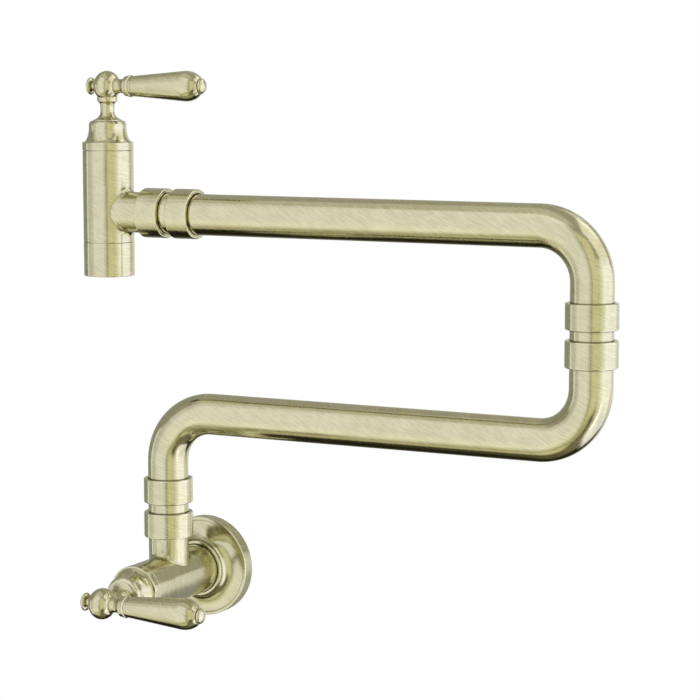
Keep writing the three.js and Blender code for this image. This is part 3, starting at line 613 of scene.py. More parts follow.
@dataclass(frozen=True)
class BrushedBrass:
    """Pale aged brass under a thin lacquer, brushed in fine strokes.

    A mix gives the shares of broad strokes, thin strokes and clouds, in that order. Outward edges
    turn paler, partly from rubbing and partly as a painted highlight, and inward bends and seams
    take painted shade.
    """

    name: str
    lay: Lay = Lay.SLANTED
    pale: Colour = (0.62, 0.592, 0.39)
    deep: Colour = (0.52, 0.492, 0.3)
    # Paler colour of outward edges: partly rubbed brass, partly a painted highlight.
    worn_and_highlit: Colour = (0.74, 0.715, 0.54)
    # Painted shade colour for inward bends and the rings beside seams.
    painted_shade_colour: Colour = (0.13, 0.11, 0.025)
    broad: Grain = Grain(0.45, 2.0, 0.3, 0.7)
    thin: Grain = Grain(1.15, 3.0, 0.36, 0.64)
    clouds: Grain = Grain(95.0, 3.0, 0.35, 0.7)
    tone_mix: Colour = (0.2, 0.55, 0.25)
    tone_range: Point = (0.15, 0.85)
    height_mix: Point = (0.6, 0.4)
    # Shares of the paler edge colour, which is partly rubbing and partly a painted highlight.
    wear_and_highlight: float = 0.45
    cloudy_wear_and_highlight: float = 0.4
    # Strength of the painted shade.
    painted_shade: float = 0.9
    slant: float = 27.0
    stroke_length: float = 6.2
    stroke_width: float = 0.33
    stroke_spread: float = 0.6
    stroke_depth: float = 0.07
    relief: float = 0.0002
    roughness: float = 0.15
    thin_roughness: float = 0.08
    cloud_roughness: float = 0.02
    edge_polish: float = 0.04
    coat: float = 0.1
    coat_roughness: float = 0.1

    def strokes(self, paint: Paint) -> tuple[Wire, Wire]:
        """Long thin noise along the lay.

        Args:
            paint: The material's tree.

        Returns:
            Broad and thin strokes, each from 0 to 1.
        """
        fine = 1 / (self.stroke_width * MM)
        slow = 1 / (self.stroke_length * MM)
        if self.lay is Lay.ROUND_VALVE:
            turn, scale = 0.0, (slow, fine, slow)
        else:
            turn, scale = math.radians(-self.slant), (slow, self.stroke_spread * slow, fine)
        where = paint.object_place()
        for change in ({"Rotation": (0.0, turn, 0.0)}, {"Scale": scale}):
            inputs = {"Vector": where, **change}
            where = paint.node("ShaderNodeMapping", {"vector_type": "POINT"}, inputs)
        return self.broad.over(paint, where), self.thin.over(paint, where)

    def material(self) -> bpy.types.Material:
        """Builds the material.

        Returns:
            The material.
        """
        made, paint = new_paint(self.name)
        broad, thin = self.strokes(paint)
        clouds = self.clouds.over(paint, paint.object_place())
        edge, nook = paint.attribute("edge"), paint.attribute("nook")
        mix = self.tone_mix
        tone = broad * mix[0] + thin * mix[1] + clouds * mix[2]
        metal = paint.blend(paint.spread(tone, *self.tone_range), self.deep, self.pale)
        # Outward edges turn paler: partly rubbing, partly a painted highlight.
        metal = paint.blend(edge * (self.wear_and_highlight + clouds * self.cloudy_wear_and_highlight), metal, self.worn_and_highlit)
        # Painted shade: darkening in inward bends and beside seams.
        metal = paint.blend(nook * self.painted_shade, metal, self.painted_shade_colour)
        rough = self.roughness + (thin - 0.5) * self.thin_roughness
        rough = rough + (clouds - 0.5) * self.cloud_roughness - edge * self.edge_polish
        height = broad * self.height_mix[0] + thin * self.height_mix[1]
        bump = paint.bump(height, self.stroke_depth, self.relief)
        paint.surface("ShaderNodeBsdfPrincipled", {
            "Base Color": metal, "Metallic": 1.0, "Roughness": rough, "Normal": bump,
            "Coat Weight": self.coat, "Coat Roughness": self.coat_roughness,
        })
        return made


@dataclass(frozen=True)
class PlainFinish:
    """A finish with a soft mottle and a faint grain, for pieces inside or behind."""

    name: str
    colour: Colour
    shade: Colour
    roughness: float
    metallic: float = 0.0
    mottle: Grain = Grain(160.0, 3.0, 0.35, 0.65)
    grain_scale: float = 900.0
    grain_depth: float = 0.12
    grain_roughness: float = 0.15
    relief: float = 0.0001

    def material(self) -> bpy.types.Material:
        """Builds the material.

        Returns:
            The material.
        """
        made, paint = new_paint(self.name)
        place = paint.object_place()
        mottle = self.mottle.over(paint, place)
        grain = paint.noise(place, self.grain_scale)
        paint.surface("ShaderNodeBsdfPrincipled", {
            "Base Color": paint.blend(mottle, self.shade, self.colour),
            "Metallic": self.metallic,
            "Roughness": self.roughness + (grain - 0.5) * self.grain_roughness,
            "Normal": paint.bump(grain, self.grain_depth, self.relief),
        })
        return made


class Slot(Enum):
    """The record's material slots."""

    BRUSHED_BRASS = "brushed_brass"
    BARE_BRASS = "bare_brass"
    STEEL = "steel"
    CERAMIC = "ceramic"
    RUBBER = "rubber"
    PTFE = "ptfe"
    PLASTIC = "plastic"


@dataclass
class Finishes:
    """Every material of the tap."""

    round_brass: bpy.types.Material = field(init=False)
    by_slot: dict[Slot, bpy.types.Material] = field(init=False)

    def __post_init__(self) -> None:
        """Builds the materials."""
        self.by_slot = {Slot.BRUSHED_BRASS: BrushedBrass("brushed_brass").material()}
        self.round_brass = BrushedBrass("round_brushed_brass", Lay.ROUND_VALVE).material()
        for slot, colour, shade, roughness, metallic in (
            (Slot.BARE_BRASS, (0.72, 0.55, 0.26), (0.5, 0.36, 0.14), 0.32, 1.0),
            (Slot.STEEL, (0.62, 0.62, 0.6), (0.45, 0.45, 0.44), 0.3, 1.0),
            (Slot.CERAMIC, (0.82, 0.8, 0.75), (0.72, 0.7, 0.64), 0.22, 0.0),
            (Slot.RUBBER, (0.02, 0.02, 0.02), (0.035, 0.034, 0.032), 0.6, 0.0),
            (Slot.PTFE, (0.85, 0.85, 0.83), (0.76, 0.76, 0.73), 0.4, 0.0),
            (Slot.PLASTIC, (0.62, 0.62, 0.58), (0.5, 0.5, 0.46), 0.38, 0.0),
        ):
            finish = PlainFinish(slot.value, colour, shade, roughness, metallic)
            self.by_slot[slot] = finish.material()


# ---- pieces


@dataclass(frozen=True)
class Seam:
    """Where a piece comes out of another, with painted shade beside it: its middle in metres and
    the way out.
    """

    middle: Vector
    way: Vector
    # Width of the painted shade, and how far from the middle it reaches.
    fade: float = 0.9
    reach: float = 24.0

    def painted_shade(self, point: Vector) -> float:
        """Tells how much painted shade lies at a point.

        Args:
            point: The point, in metres.

        Returns:
            Its share, from 0 to 1.
        """
        offset = point - self.middle
        if offset.length > self.reach * MM:
            return 0.0
        return min(1.0, max(0.0, 1 - offset.dot(self.way) / (self.fade * MM)))


def mark_edges(data: bpy.types.Mesh, seams: Sequence[Seam]) -> None:
    """Stores how sharply the surface bends out (edge), which turns edges paler, partly as rubbing
    and partly as a painted highlight, and a mask of painted shade from inward bends and seams, at
    each point.

    Args:
        data: A finished mesh, in metres.
        seams: Where painted shade lies beside a neighbour.
    """
    work = bmesh.new()
    work.from_mesh(data)
    edge = [0.0] * len(work.verts)
    nook = [0.0] * len(work.verts)
    for line in work.edges:
        if len(line.link_faces) != 2:
            continue
        area = 0.5 * sum(face.calc_area() for face in line.link_faces)
        span = area / max(line.calc_length(), LEAST_LENGTH)
        curve = line.calc_face_angle_signed(0.0) / max(span, LEAST_SPAN)
        for vert in line.verts:
            # Outward bends take the paler edge colour with its painted highlight; inward bends take
            # painted shade.
            edge[vert.index] = max(edge[vert.index], min(1.0, curve / FULL_WEAR_AND_HIGHLIGHT))
            nook[vert.index] = max(nook[vert.index], min(1.0, -curve / FULL_PAINTED_SHADE))
    # Painted shade also beside each seam.
    for vert in work.verts:
        nook[vert.index] = max([nook[vert.index], *(seam.painted_shade(vert.co) for seam in seams)])
    work.free()
    for name, values in (("edge", edge), ("nook", nook)):
        layer = data.attributes.new(name, "FLOAT", "POINT")
        layer.data.foreach_set("value", values)


@dataclass
class Workshop:
    """Hangs finished meshes on the frame."""

    finishes: Finishes
    bodies: Mapping[str, Sequence[str]]
    made: list[bpy.types.Object] = field(default_factory=list)

    def fit(
        self,
        node: str,
        data: bpy.types.Mesh,
        slot: Slot = Slot.BRUSHED_BRASS,
        seams: Sequence[Seam] = (),
        material: bpy.types.Material | None = None,
    ) -> None:
        """seams: Where the piece comes out of its neighbours, which takes painted shade.
            material: A material other than the slot's own.
        """
        data.polygons.foreach_set("use_smooth", [True] * len(data.polygons))
        data.set_sharp_from_angle(angle=SMOOTH_ANGLE)
        data.update()
        # Marks the paler edges with their painted highlight, and the painted shade.
        mark_edges(data, seams)
        data.materials.clear()
        data.materials.append(material or self.finishes.by_slot[slot])
        piece = linked(f"{node}_fine", data)
        body = next(body for body, nodes in self.bodies.items() if node in nodes)
        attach(piece, body)
        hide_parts(node)
        self.made.append(piece)
        log.info("%s: %d faces", piece.name, len(data.polygons))

    def turn(
        self,
        node: str,
        points: Sequence[Point],
        place: Matrix,
        facets: int = FACETS,
        **dress: object,
    ) -> None:
        """Turns an outline into a piece and puts it in a node's place.

        Args:
            node: The node that the piece stands for.
            points: Its outline.
            place: Where its own axes stand.
            facets: Faces round its axis.
            **dress: Its slot and seams, as for fit.
        """
        self.fit(node, turned(points, facets).mesh(node, place), **dress)


@dataclass
class Assembly:
    """A sub-assembly, whose pieces a workshop hangs on the frame."""

    shop: Workshop


# ---- arm tubes


def tube_growth() -> Growth:
    """Geometry nodes that bend a route's corners and sweep a round tube along it.

    Returns:
        The tree.
    """
    tree = Growth("bent_tube", "Route", {
        "Bend Radius": "Float", "Tube Radius": "Float", "Bend Steps": "Int", "Facets": "Int",
    })
    bent = tree.node("GeometryNodeFilletCurve", {"mode": "POLY"}, {
        "Curve": tree.given("Route"), "Count": tree.given("Bend Steps"),
        "Radius": tree.given("Bend Radius"), "Limit Radius": True,
    })
    ring = tree.node("GeometryNodeCurvePrimitiveCircle", {"mode": "RADIUS"}, {
        "Resolution": tree.given("Facets"), "Radius": tree.given("Tube Radius"),
    })
    swept = tree.node("GeometryNodeCurveToMesh", None, {"Curve": bent, "Profile Curve": ring})
    tree.close(tree.node("GeometryNodeMergeByDistance", None, {
        "Geometry": swept, "Distance": TUBE_WELD * MM,
    }))
    return tree


@dataclass
class ArmTube(Assembly):
    """A round tube with bends, from one swivel to the next."""

    node: str
    corners: Sequence[Vector]
    # Where painted shade lies on the tube beside its collars.
    seams: Sequence[Seam]
    radius: float = 12.0
    wall: float = 1.5
    bend_radius: float = 30.0
    bend_steps: int = 26
    facets: int = 112
    shoulder: float = 1.0

    def route(self) -> list[Vector]:
        """Lays the tube's route.

        Returns:
            The corners in metres, with points beside each bend and across each seam's painted
            shade.
        """
        points = [self.corners[0]]
        clear = (self.bend_radius + self.shoulder) * MM
        for before, corner, after in zip(self.corners, self.corners[1:], self.corners[2:]):
            points.append(corner + (before - corner).normalized() * clear)
            points.append(corner)
            points.append(corner + (after - corner).normalized() * clear)
        points.append(self.corners[-1])
        for seam in self.seams:
            edges = [seam.middle + seam.way * share * seam.fade * MM for share in (0, 0.5, 1)]
            if (seam.middle - points[0]).length < (seam.middle - points[-1]).length:
                points[1:1] = edges
            else:
                points[-1:-1] = edges[::-1]
        return points

    def build(self, tree: Growth) -> None:
        """Sweeps the tube, gives it its wall and fits it.

        Args:
            tree: The geometry nodes of a bent tube.
        """
        curve = bpy.data.curves.new(self.node, "CURVE")
        curve.dimensions = "3D"
        spline = curve.splines.new("POLY")
        points = self.route()
        spline.points.add(len(points) - 1)
        for spot, point in zip(spline.points, points):
            spot.co = (*point, 1.0)
        name = f"{self.node}_skin"
        skin = linked(name, tree.grow(linked(f"{self.node}_route", curve), name, {
            "Bend Radius": self.bend_radius * MM, "Tube Radius": self.radius * MM,
            "Bend Steps": self.bend_steps, "Facets": self.facets,
            "Finish": self.shop.finishes.by_slot[Slot.BRUSHED_BRASS],
        }))
        thick = skin.modifiers.new("wall", "SOLIDIFY")
        thick.thickness = self.wall * MM
        thick.offset = -1.0
        thick.use_even_offset = True
        self.shop.fit(self.node, evaluated(skin, self.node), seams=self.seams)


# ---- swivels and union


@dataclass
class Swivel(Assembly):
    """Nut, turning spindle and collar; heights are from the nut's foot."""

    prefix: str
    facing: Facing = Facing.UP
    inner: str = "spindle"
    tube_radius: float = 12.0
    outer_radius: float = 14.6
    edge: float = 0.65
    lip: float = 0.12
    nut_height: float = 14.9
    ring_height: float = 5.7
    ring_edge: float = 0.2
    collar_height: float = 14.6
    collar_gap: float = 0.1
    collar_seat: float = 3.4
    recess: float = 0.7
    recess_width: float = 0.45
    play: float = 0.25
    thread_radius: float = 11.45
    neck_radius: float = 9.7
    shoulder: float = 10.45
    flange_play: float = 0.5
    flange: float = 2.0
    tail_radius: float = 8.0
    plug_radius: float = 10.25
    bore: float = 4.8
    # Width of the painted shade beside the nut and the collar.
    fade: float = 0.9

    def crown(self) -> float:
        """Height of the top of the ring that shows."""
        return self.nut_height + self.ring_height

    def nut(self) -> list[Point]:
        """Draws the nut.

        Returns:
            Radius and height of each point.
        """
        well = self.tube_radius + self.recess_width
        neck = self.neck_radius + self.play
        return outline([
            (self.thread_radius, 0.0),
            Corner(self.outer_radius, 0.0, self.edge),
            Corner(self.outer_radius, self.nut_height, self.edge),
            Corner(well, self.nut_height, self.lip),
            (well, self.nut_height - self.recess),
            (neck, self.nut_height - self.recess),
            (neck, self.shoulder),
            (self.thread_radius, self.shoulder),
        ])

    def collar(self) -> list[Point]:
        """Draws the collar.

        Returns:
            Radius and height of each point.
        """
        bottom = self.crown() + self.collar_gap
        top = self.crown() + self.collar_height
        well = self.tube_radius + self.recess_width
        grip = self.tube_radius + self.play
        plug = self.plug_radius + self.play
        return outline([
            (plug, bottom),
            Corner(self.outer_radius, bottom, self.edge),
            Corner(self.outer_radius, top, self.edge),
            Corner(well, top, self.lip),
            (well, top - self.recess),
            (grip, top - self.recess),
            (grip, bottom + self.collar_seat),
            (plug, bottom + self.collar_seat),
        ])

    def ring(self, bottom: float, top: float) -> list[Point]:
        """Outline of the spindle from its tail up, with the ring that shows.

        Args:
            bottom: Height of its lower end.
            top: Height of its upper end.

        Returns:
            The outline.
        """
        flange = self.thread_radius - self.flange_play
        tail = self.tail_radius if bottom < 0 else flange
        under = self.shoulder - self.play
        seat = self.nut_height - self.recess + self.play
        return outline([
            (self.bore, bottom),
            (tail, bottom),
            (tail, under - self.flange),
            (flange, under - self.flange),
            (flange, under),
            (self.neck_radius, under),
            (self.neck_radius, seat),
            Corner(self.tube_radius, seat, self.ring_edge),
            (self.tube_radius, self.nut_height),
            # These rows hold the painted shade beside the nut and the collar.
            (self.tube_radius, self.nut_height + self.fade),
            (self.tube_radius, self.crown() - self.fade),
            Corner(self.tube_radius, self.crown(), self.ring_edge),
            (self.plug_radius, self.crown()),
            (self.plug_radius, top),
            (self.bore, top),
        ])

    def build(self) -> None:
        """Makes the three pieces that show."""
        nut, collar, spindle = (f"{self.prefix}_{n}" for n in ("nut", "collar", self.inner))
        place = self.facing.foot(nut)
        out = place.to_3x3() @ Vector(UP_WAY)
        ends = [(place.inverted() @ end).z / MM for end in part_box(spindle)]
        # Painted shade on the spindle's ring where it comes out of the nut and the collar.
        seams = (
            Seam((place @ lift(self.nut_height)).translation, out, self.fade),
            Seam((place @ lift(self.crown())).translation, -out, self.fade),
        )
        self.shop.turn(nut, self.nut(), place)
        self.shop.turn(collar, self.collar(), place)
        self.shop.turn(spindle, self.ring(*ends), place, seams=seams)


# ---- valve bodies


@dataclass
class ValveBody(Assembly):
    """A barrel with a branch, joined by a rolled fillet; heights are from the bonnet's seam."""

    node: str
    bonnet: str
    nut: str
    facing: Facing
    branch_facing: Facing
    length: float
    foot: Sequence[Corner | Point]
    material: bpy.types.Material | None = None
    radius: float = 15.05
    edge: float = 0.3
    thread_radius: float = 12.4
    thread_height: float = 4.0
    screw_radius: float = 10.55
    screw_depth: float = 9.0
    chamber_radius: float = 11.6
    seat_depth: float = 46.5
    seat_thickness: float = 3.0
    seat_bore: float = 5.5
    branch_radius: float = 12.0
    branch_edge: float = 0.2
    branch_end: float = 1.2
    mouth_radius: float = 11.2
    mouth_height: float = 7.0
    mouth_edge: float = 0.3
    mouth_bore: float = 8.25
    mouth_depth: float = 6.0
    fillet: float = 3.0
    fillet_steps: int = 10
    seam: float = 0.25
    patch_angle: float = math.radians(76.0)
    patch_rise: float = 16.6
    patch_rings: int = 6
    patch_crowding: float = 0.8
    side_steps: int = 32
    rear_columns: int = 44

    def place(self) -> Matrix:
        """Where the bonnet's seam lies on the barrel's axis."""
        return self.facing.foot(self.bonnet) @ lift(-self.seam)

    def branch(self) -> Spot:
        """The branch's depth below the seam, its reach, and its turn about the barrel.

        Returns:
            Depth and reach in millimetres, and the turn in radians.
        """
        foot = self.branch_facing.foot(self.nut).translation
        local = self.place().inverted() @ foot / MM
        return -local.z, math.hypot(local.x, local.y), math.atan2(local.y, local.x)

    def columns(self) -> list[float]:
        """Lays the barrel's columns, dense over the patch that carries the branch.

        Returns:
            Their angles in radians.
        """
        edge, steps = self.patch_angle, self.side_steps
        front = [-edge + 2 * edge * i / steps for i in range(steps + 1)]
        gap = 2 * math.pi - 2 * edge
        rear = [edge + gap * i / self.rear_columns for i in range(1, self.rear_columns)]
        return front + rear

    def wall_rows(self, depth: float) -> list[Point]:
        """Outline of the barrel apart from the band with the branch, from top to bottom.

        Args:
            depth: Of the branch below the seam.

        Returns:
            Radius and height of each row.
        """
        return outline([
            (self.radius, self.patch_rise - depth),
            Corner(self.radius, 0.0, self.edge),
            (self.thread_radius, 0.0),
            (self.thread_radius, self.thread_height),
            (self.screw_radius, self.thread_height),
            (self.screw_radius, -self.screw_depth),
            (self.chamber_radius, -self.screw_depth),
            (self.chamber_radius, -self.seat_depth),
            (self.seat_bore, -self.seat_depth),
            (self.seat_bore, -self.seat_depth - self.seat_thickness),
            *self.foot,
            Corner(self.radius, -self.length, self.edge),
            (self.radius, -self.patch_rise - depth),
        ])

    def shell(self) -> Shell:
        """Builds the whole body.

        Returns:
            The body, with the branch along its own X axis.
        """
        depth, reach, _ = self.branch()
        shell = Shell()
        angles = self.columns()
        shell.loft([
            shell.row(on_circle(radius, angle, height) for angle in angles)
            for radius, height in self.wall_rows(depth)
        ])
        steps = self.side_steps
        levels = [self.patch_rise * (1 - 2 * i / steps) - depth for i in range(steps + 1)]
        rear = [*angles[steps:], angles[0] + 2 * math.pi]
        shell.loft([
            shell.row(on_circle(self.radius, angle, level) for angle in rear) for level in levels
        ], around=False)
        self.add_branch(shell, depth, reach)
        return shell

    def border(self) -> list[Spot]:
        """Lays the border of the patch that carries the branch.

        Returns:
            Each point's place across and up, from -1 to 1, and its turn about the branch.
        """
        side = [-1 + 2 * i / self.side_steps for i in range(self.side_steps)]
        border = [(s, 1.0) for s in side] + [(1.0, -s) for s in side]
        border += [(-s, -1.0) for s in side] + [(-1.0, s) for s in side]
        return [(across, up, math.atan2(across, up)) for across, up in border]

    def patch_point(self, across: float, up: float, turn: float, share: float) -> Spot:
        """A point on the barrel between the patch's border and the fillet.

        Args:
            across: Place on the border, round the barrel.
            up: Place on the border, along the barrel.
            turn: Turn of the point about the branch.
            share: How far it lies towards the fillet, from 0 to 1.

        Returns:
            The point, with the branch at height 0.
        """
        ball = self.branch_radius + self.fillet
        hole = math.asin(ball * math.sin(turn) / (self.radius + self.fillet))
        angle = self.patch_angle * across * (1 - share) + hole * share
        height = self.patch_rise * up * (1 - share) + ball * math.cos(turn) * share
        return on_circle(self.radius, angle, height)

    def fillet_point(self, turn: float, share: float) -> Vector:
        """A point on the fillet, from the barrel to the branch.

        Args:
            turn: Turn of the point about the branch.
            share: How far it has rolled, from 0 to 1.

        Returns:
            The point, with the branch at height 0.
        """
        ball = self.branch_radius + self.fillet
        y, z = ball * math.sin(turn), ball * math.cos(turn)
        centre = Vector((math.sqrt((self.radius + self.fillet) ** 2 - y * y), y, z))
        inward = Vector((-centre.x, -centre.y, 0.0)).normalized()
        onward = Vector((0.0, -y, -z)).normalized()
        return centre + inward.slerp(onward, share) * self.fillet

    def add_branch(self, shell: Shell, depth: float, reach: float) -> None:
        """Adds the patch round the branch, the fillet, the branch and its mouth.

        Args:
            shell: The body in the making.
            depth: Of the branch below the seam.
            reach: Of the branch from the barrel's axis.
        """
        border = self.border()
        loops: list[list[Spot | Vector]] = []
        for ring in range(self.patch_rings + 1):
            share = (ring / self.patch_rings) ** self.patch_crowding
            loops.append([self.patch_point(*spot, share) for spot in border])
        for step in range(1, self.fillet_steps + 1):
            share = step / self.fillet_steps
            loops.append([self.fillet_point(turn, share) for _, _, turn in border])
        mouth = outline([
            (self.branch_radius, reach - self.branch_end),
            Corner(self.branch_radius, reach, self.branch_edge),
            (self.mouth_radius, reach),
            Corner(self.mouth_radius, reach + self.mouth_height, self.mouth_edge),
            (self.mouth_bore, reach + self.mouth_height),
            (self.mouth_bore, reach - self.mouth_depth),
            (0.0, reach - self.mouth_depth),
        ])
        for radius, out in mouth:
            turns = [turn for _, _, turn in (border if radius else border[:1])]
            loops.append([(out, radius * math.sin(t), radius * math.cos(t)) for t in turns])
        down = Vector((0.0, 0.0, depth))
        shell.loft([shell.row(Vector(point) - down for point in loop) for loop in loops])

    def build(self) -> None:
        """Makes the body."""
        place = self.place() @ Matrix.Rotation(self.branch()[2], 4, "Z")
        self.shop.fit(self.node, self.shell().mesh(self.node, place), material=self.material)


# ---- bonnet and lever


@dataclass
class Bonnet(Assembly):
    """The flared cover on top of a valve; heights are from the bonnet's seam."""

    prefix: str
    ring_radius: float = 15.15
    ring_height: float = 5.0
    ring_edge: float = 0.3
    seam: float = 0.25
    flare_height: float = 9.0
    flare_width: float = 4.4
    shoulder: float = 1.3
    flare_length: float = 9.6
    neck_radius: float = 11.1
    neck_height: float = 3.6
    top_edge: float = 2.4
    top_thickness: float = 1.4
    neck_wall: float = 1.35
    hole_radius: float = 7.95
    hole_edge: float = 0.15
    thread_bore: float = 12.65
    step_height: float = 5.7
    flare_steps: int = 22
    brow_steps: int = 8

    def top(self) -> float:
        """Height of its top."""
        return self.ring_height + self.flare_height + self.neck_height

    def points(self) -> list[Point]:
        """Draws its outline.

        Returns:
            Radius and height of each point.
        """
        start = 180 + math.degrees(math.asin(self.flare_height / self.flare_length))
        centre = (self.neck_radius + self.flare_width, self.ring_height + self.flare_height)
        flare = arc(centre, (self.flare_width, self.flare_length), start, 180, self.flare_steps)
        inner = self.neck_radius - self.neck_wall
        top, edge = self.top(), self.top_edge
        brow = arc((self.neck_radius - edge, top - edge), (edge, edge), 0, 90, self.brow_steps)
        return outline([
            (self.thread_bore, self.seam),
            Corner(self.ring_radius, self.seam, self.ring_edge),
            Corner(self.ring_radius, self.ring_height, self.shoulder),
            *flare,
            *brow,
            Corner(self.hole_radius, top, self.hole_edge),
            (self.hole_radius, top - self.top_thickness),
            (inner, top - self.top_thickness),
            (inner, self.step_height + self.thread_bore - inner),
            (self.thread_bore, self.step_height),
        ])

    def build(self, place: Matrix) -> None:
        """Makes the bonnet at the seam's place."""
        self.shop.turn(f"{self.prefix}_bonnet", self.points(), place)


@dataclass
class Lever(Assembly):
    """The turned lever handle; rises are from the bonnet's top, reaches from the valve's axis.

    A pull is how far a curve's handle stands off its slim radius, and off its wide end along it.
    """

    prefix: str
    rise: float = 20.3
    sleeve_radius: float = 7.6
    sleeve_depth: float = 6.7
    spline_radius: float = 4.15
    spline_depth: float = 7.9
    waist_radius: float = 4.15
    waist_rise: float = 8.2
    skirt_radius: float = 8.6
    skirt_height: float = 0.35
    trumpet_top: float = 5.4
    trumpet_pull: Point = (0.25, 1.35)
    throat_pull: Point = (0.05, 1.0)
    throat_lip: float = 0.15
    ring_radius: float = 6.0
    ring_rise: float = 11.4
    ring_width: float = 2.5
    ring_edges: Point = (0.2, 0.45)
    bead_radius: float = 8.95
    bead_half: float = 7.8
    bead_edge: float = 5.0
    bead_sink: float = 0.55
    fillet_pull: Point = (0.15, 0.45)
    shank_radius: float = 4.1
    shank_start: float = 8.8
    shank_reach: float = 13.0
    shank_flare: float = 3.4
    flare_pull: Point = (0.05, 1.6)
    button_middle: float = 11.2
    button_half: float = 1.9
    button_radius: float = 5.2
    button_seat: float = 8.2
    button_seat_radius: float = 2.7
    ferrule_length: float = 6.0
    ferrule_radius: float = 6.45
    ferrule_peak: float = 16.6
    ferrule_end: float = 5.35
    ferrule_tail: float = 5.8
    ferrule_lip: float = 0.08
    ferrule_step: tuple[Corner, ...] = (Corner(0.6, 0.65, 0.08),)
    ferrule_rim: tuple[Corner, ...] = (
        Corner(-0.25, -0.7, 0.15), Corner(0.0, -0.5, 0.25), Corner(0.0, 0.4, 0.3),
    )
    ferrule_foot: tuple[Corner, ...] = (Corner(0.0, 0.75, 0.15),)
    grip_reach: float = 64.0
    grip_widest: float = 54.6
    grip_start: float = 6.0
    grip_lip: float = 0.08
    grip_radius: float = 8.85
    grip_crest: Corner = Corner(-0.06, -1.5, 6.0)
    grip_nose: float = 11.1
    grip_play: float = 0.03
    finial_length: float = 3.2
    finial_radius: float = 4.45
    finial_foot: float = 3.7
    finial_brim: float = 0.6
    play: float = 0.1
    facets: int = 80
    ball_steps: int = 44
    disc_steps: int = 28
    nose_steps: int = 24
    trumpet_steps: int = 20
    crown_steps: int = 16
    fillet_steps: int = 8

    @staticmethod
    def beside(radius: float, height: float, corners: Iterable[Corner]) -> list[Corner]:
        """Corners that are given from a radius and a height."""
        return [Corner(radius + c.radius, height + c.height, c.rounding) for c in corners]

    def neck(self) -> list[Point]:
        """Draws the sleeve, waist and ring, up into the bead; heights from the top.

        Returns:
            Radius and height of each point.
        """
        waist, skirt = self.waist_radius, self.skirt_height
        pull, hold = self.trumpet_pull, self.throat_pull
        trumpet = swoop(
            (self.skirt_radius, skirt), (waist + pull[0], skirt + pull[1]),
            (waist, self.trumpet_top), self.trumpet_steps,
        )
        throat = swoop(
            (waist, self.waist_rise), (waist + hold[0], self.ring_rise - hold[1]),
            (self.ring_radius - self.throat_lip, self.ring_rise - self.throat_lip),
        )
        low, high = self.ring_edges
        socket = self.spline_depth - self.sleeve_depth
        head = self.rise - self.bead_sink * self.bead_radius
        return outline([
            (0.0, socket),
            (self.spline_radius, socket),
            (self.spline_radius, -self.sleeve_depth),
            (self.sleeve_radius, -self.sleeve_depth),
            (self.sleeve_radius, self.play),
            (self.skirt_radius, self.play),
            *trumpet,
            *throat,
            Corner(self.ring_radius, self.ring_rise + low, low),
            Corner(self.ring_radius, self.ring_rise + self.ring_width, high),
            (waist, head),
            (0.0, head),
        ])

    def bead(self) -> list[Point]:
        """Draws bead and shank about the lever's axis.

        Returns:
            Radius and height of each point.
        """
        seat = math.degrees(math.asin(self.button_seat_radius / self.bead_radius))
        edge = math.degrees(math.asin(self.bead_edge / self.bead_radius))
        radii = (self.bead_half, self.bead_radius)
        ball = arc((0.0, 0.0), radii, 180 - seat, edge, self.ball_steps)
        ball = [(radius, along) for along, radius in ball]
        pull, hold = self.fillet_pull, self.flare_pull
        end = (self.bead_edge, ball[-1][1])
        fillet = swoop(
            end, (self.shank_radius + pull[0], end[1] + pull[1]),
            (self.shank_radius, self.shank_start), self.fillet_steps,
        )
        flare = swoop(
            (self.shank_radius, self.shank_reach - self.shank_flare),
            (self.shank_radius + hold[0], self.shank_reach - hold[1]),
            (self.ferrule_end, self.shank_reach),
        )
        return outline([
            (0.0, -self.button_seat),
            (self.button_seat_radius, -self.button_seat),
            *ball,
            *fillet[1:],
            *flare,
            (0.0, self.shank_reach),
        ])

    def button(self) -> list[Point]:
        """Draws the button behind the bead, from the bead outwards.

        Returns:
            Radius and height of each point.
        """
        start = self.button_seat + self.play
        low = -math.degrees(math.acos(self.button_seat_radius / self.button_radius))
        radii = (self.button_radius, self.button_half)
        disc = arc((0.0, self.button_middle), radii, low, 90, self.disc_steps)
        end = self.button_middle + self.button_half
        return outline([(0.0, start), (self.button_seat_radius, start), *disc[:-1], (0.0, end)])

    def ferrule(self) -> list[Point]:
        """Draws the beaded ring between shank and grip.

        Returns:
            Radius and height of each point.
        """
        start = self.shank_reach + self.play
        end = start + self.ferrule_length
        return outline([
            (0.0, start),
            (self.ferrule_end + self.ferrule_lip, start),
            *self.beside(self.ferrule_end, start, self.ferrule_step),
            *self.beside(self.ferrule_radius, self.ferrule_peak, self.ferrule_rim),
            *self.beside(self.ferrule_tail, self.ferrule_peak, self.ferrule_foot),
            (self.grip_start - self.grip_play, end),
            (0.0, end),
        ])

    def grip(self) -> list[Point]:
        """Draws the tapered grip.

        Returns:
            Radius and height of each point.
        """
        start = self.shank_reach + self.ferrule_length + 2 * self.play
        last = math.degrees(math.acos((self.grip_reach - self.grip_widest) / self.grip_nose))
        radii = (self.grip_nose, self.grip_radius)
        nose = arc((self.grip_widest, 0.0), radii, 90, last, self.nose_steps)
        return outline([
            (0.0, start),
            Corner(self.grip_start, start, self.grip_lip),
            *self.beside(self.grip_radius, self.grip_widest, [self.grip_crest]),
            *((radius, along) for along, radius in nose),
            (0.0, self.grip_reach),
        ])

    def finial(self) -> list[Point]:
        """Draws the cap at the grip's end.

        Returns:
            Radius and height of each point.
        """
        start = self.grip_reach + self.play
        brim = start + self.finial_brim
        height = self.finial_length - self.finial_brim
        crown = arc((0.0, brim), (self.finial_radius, height), 0, 90, self.crown_steps)
        end = start + self.finial_length
        return outline([(0.0, start), (self.finial_foot, start), *crown[:-1], (0.0, end)])

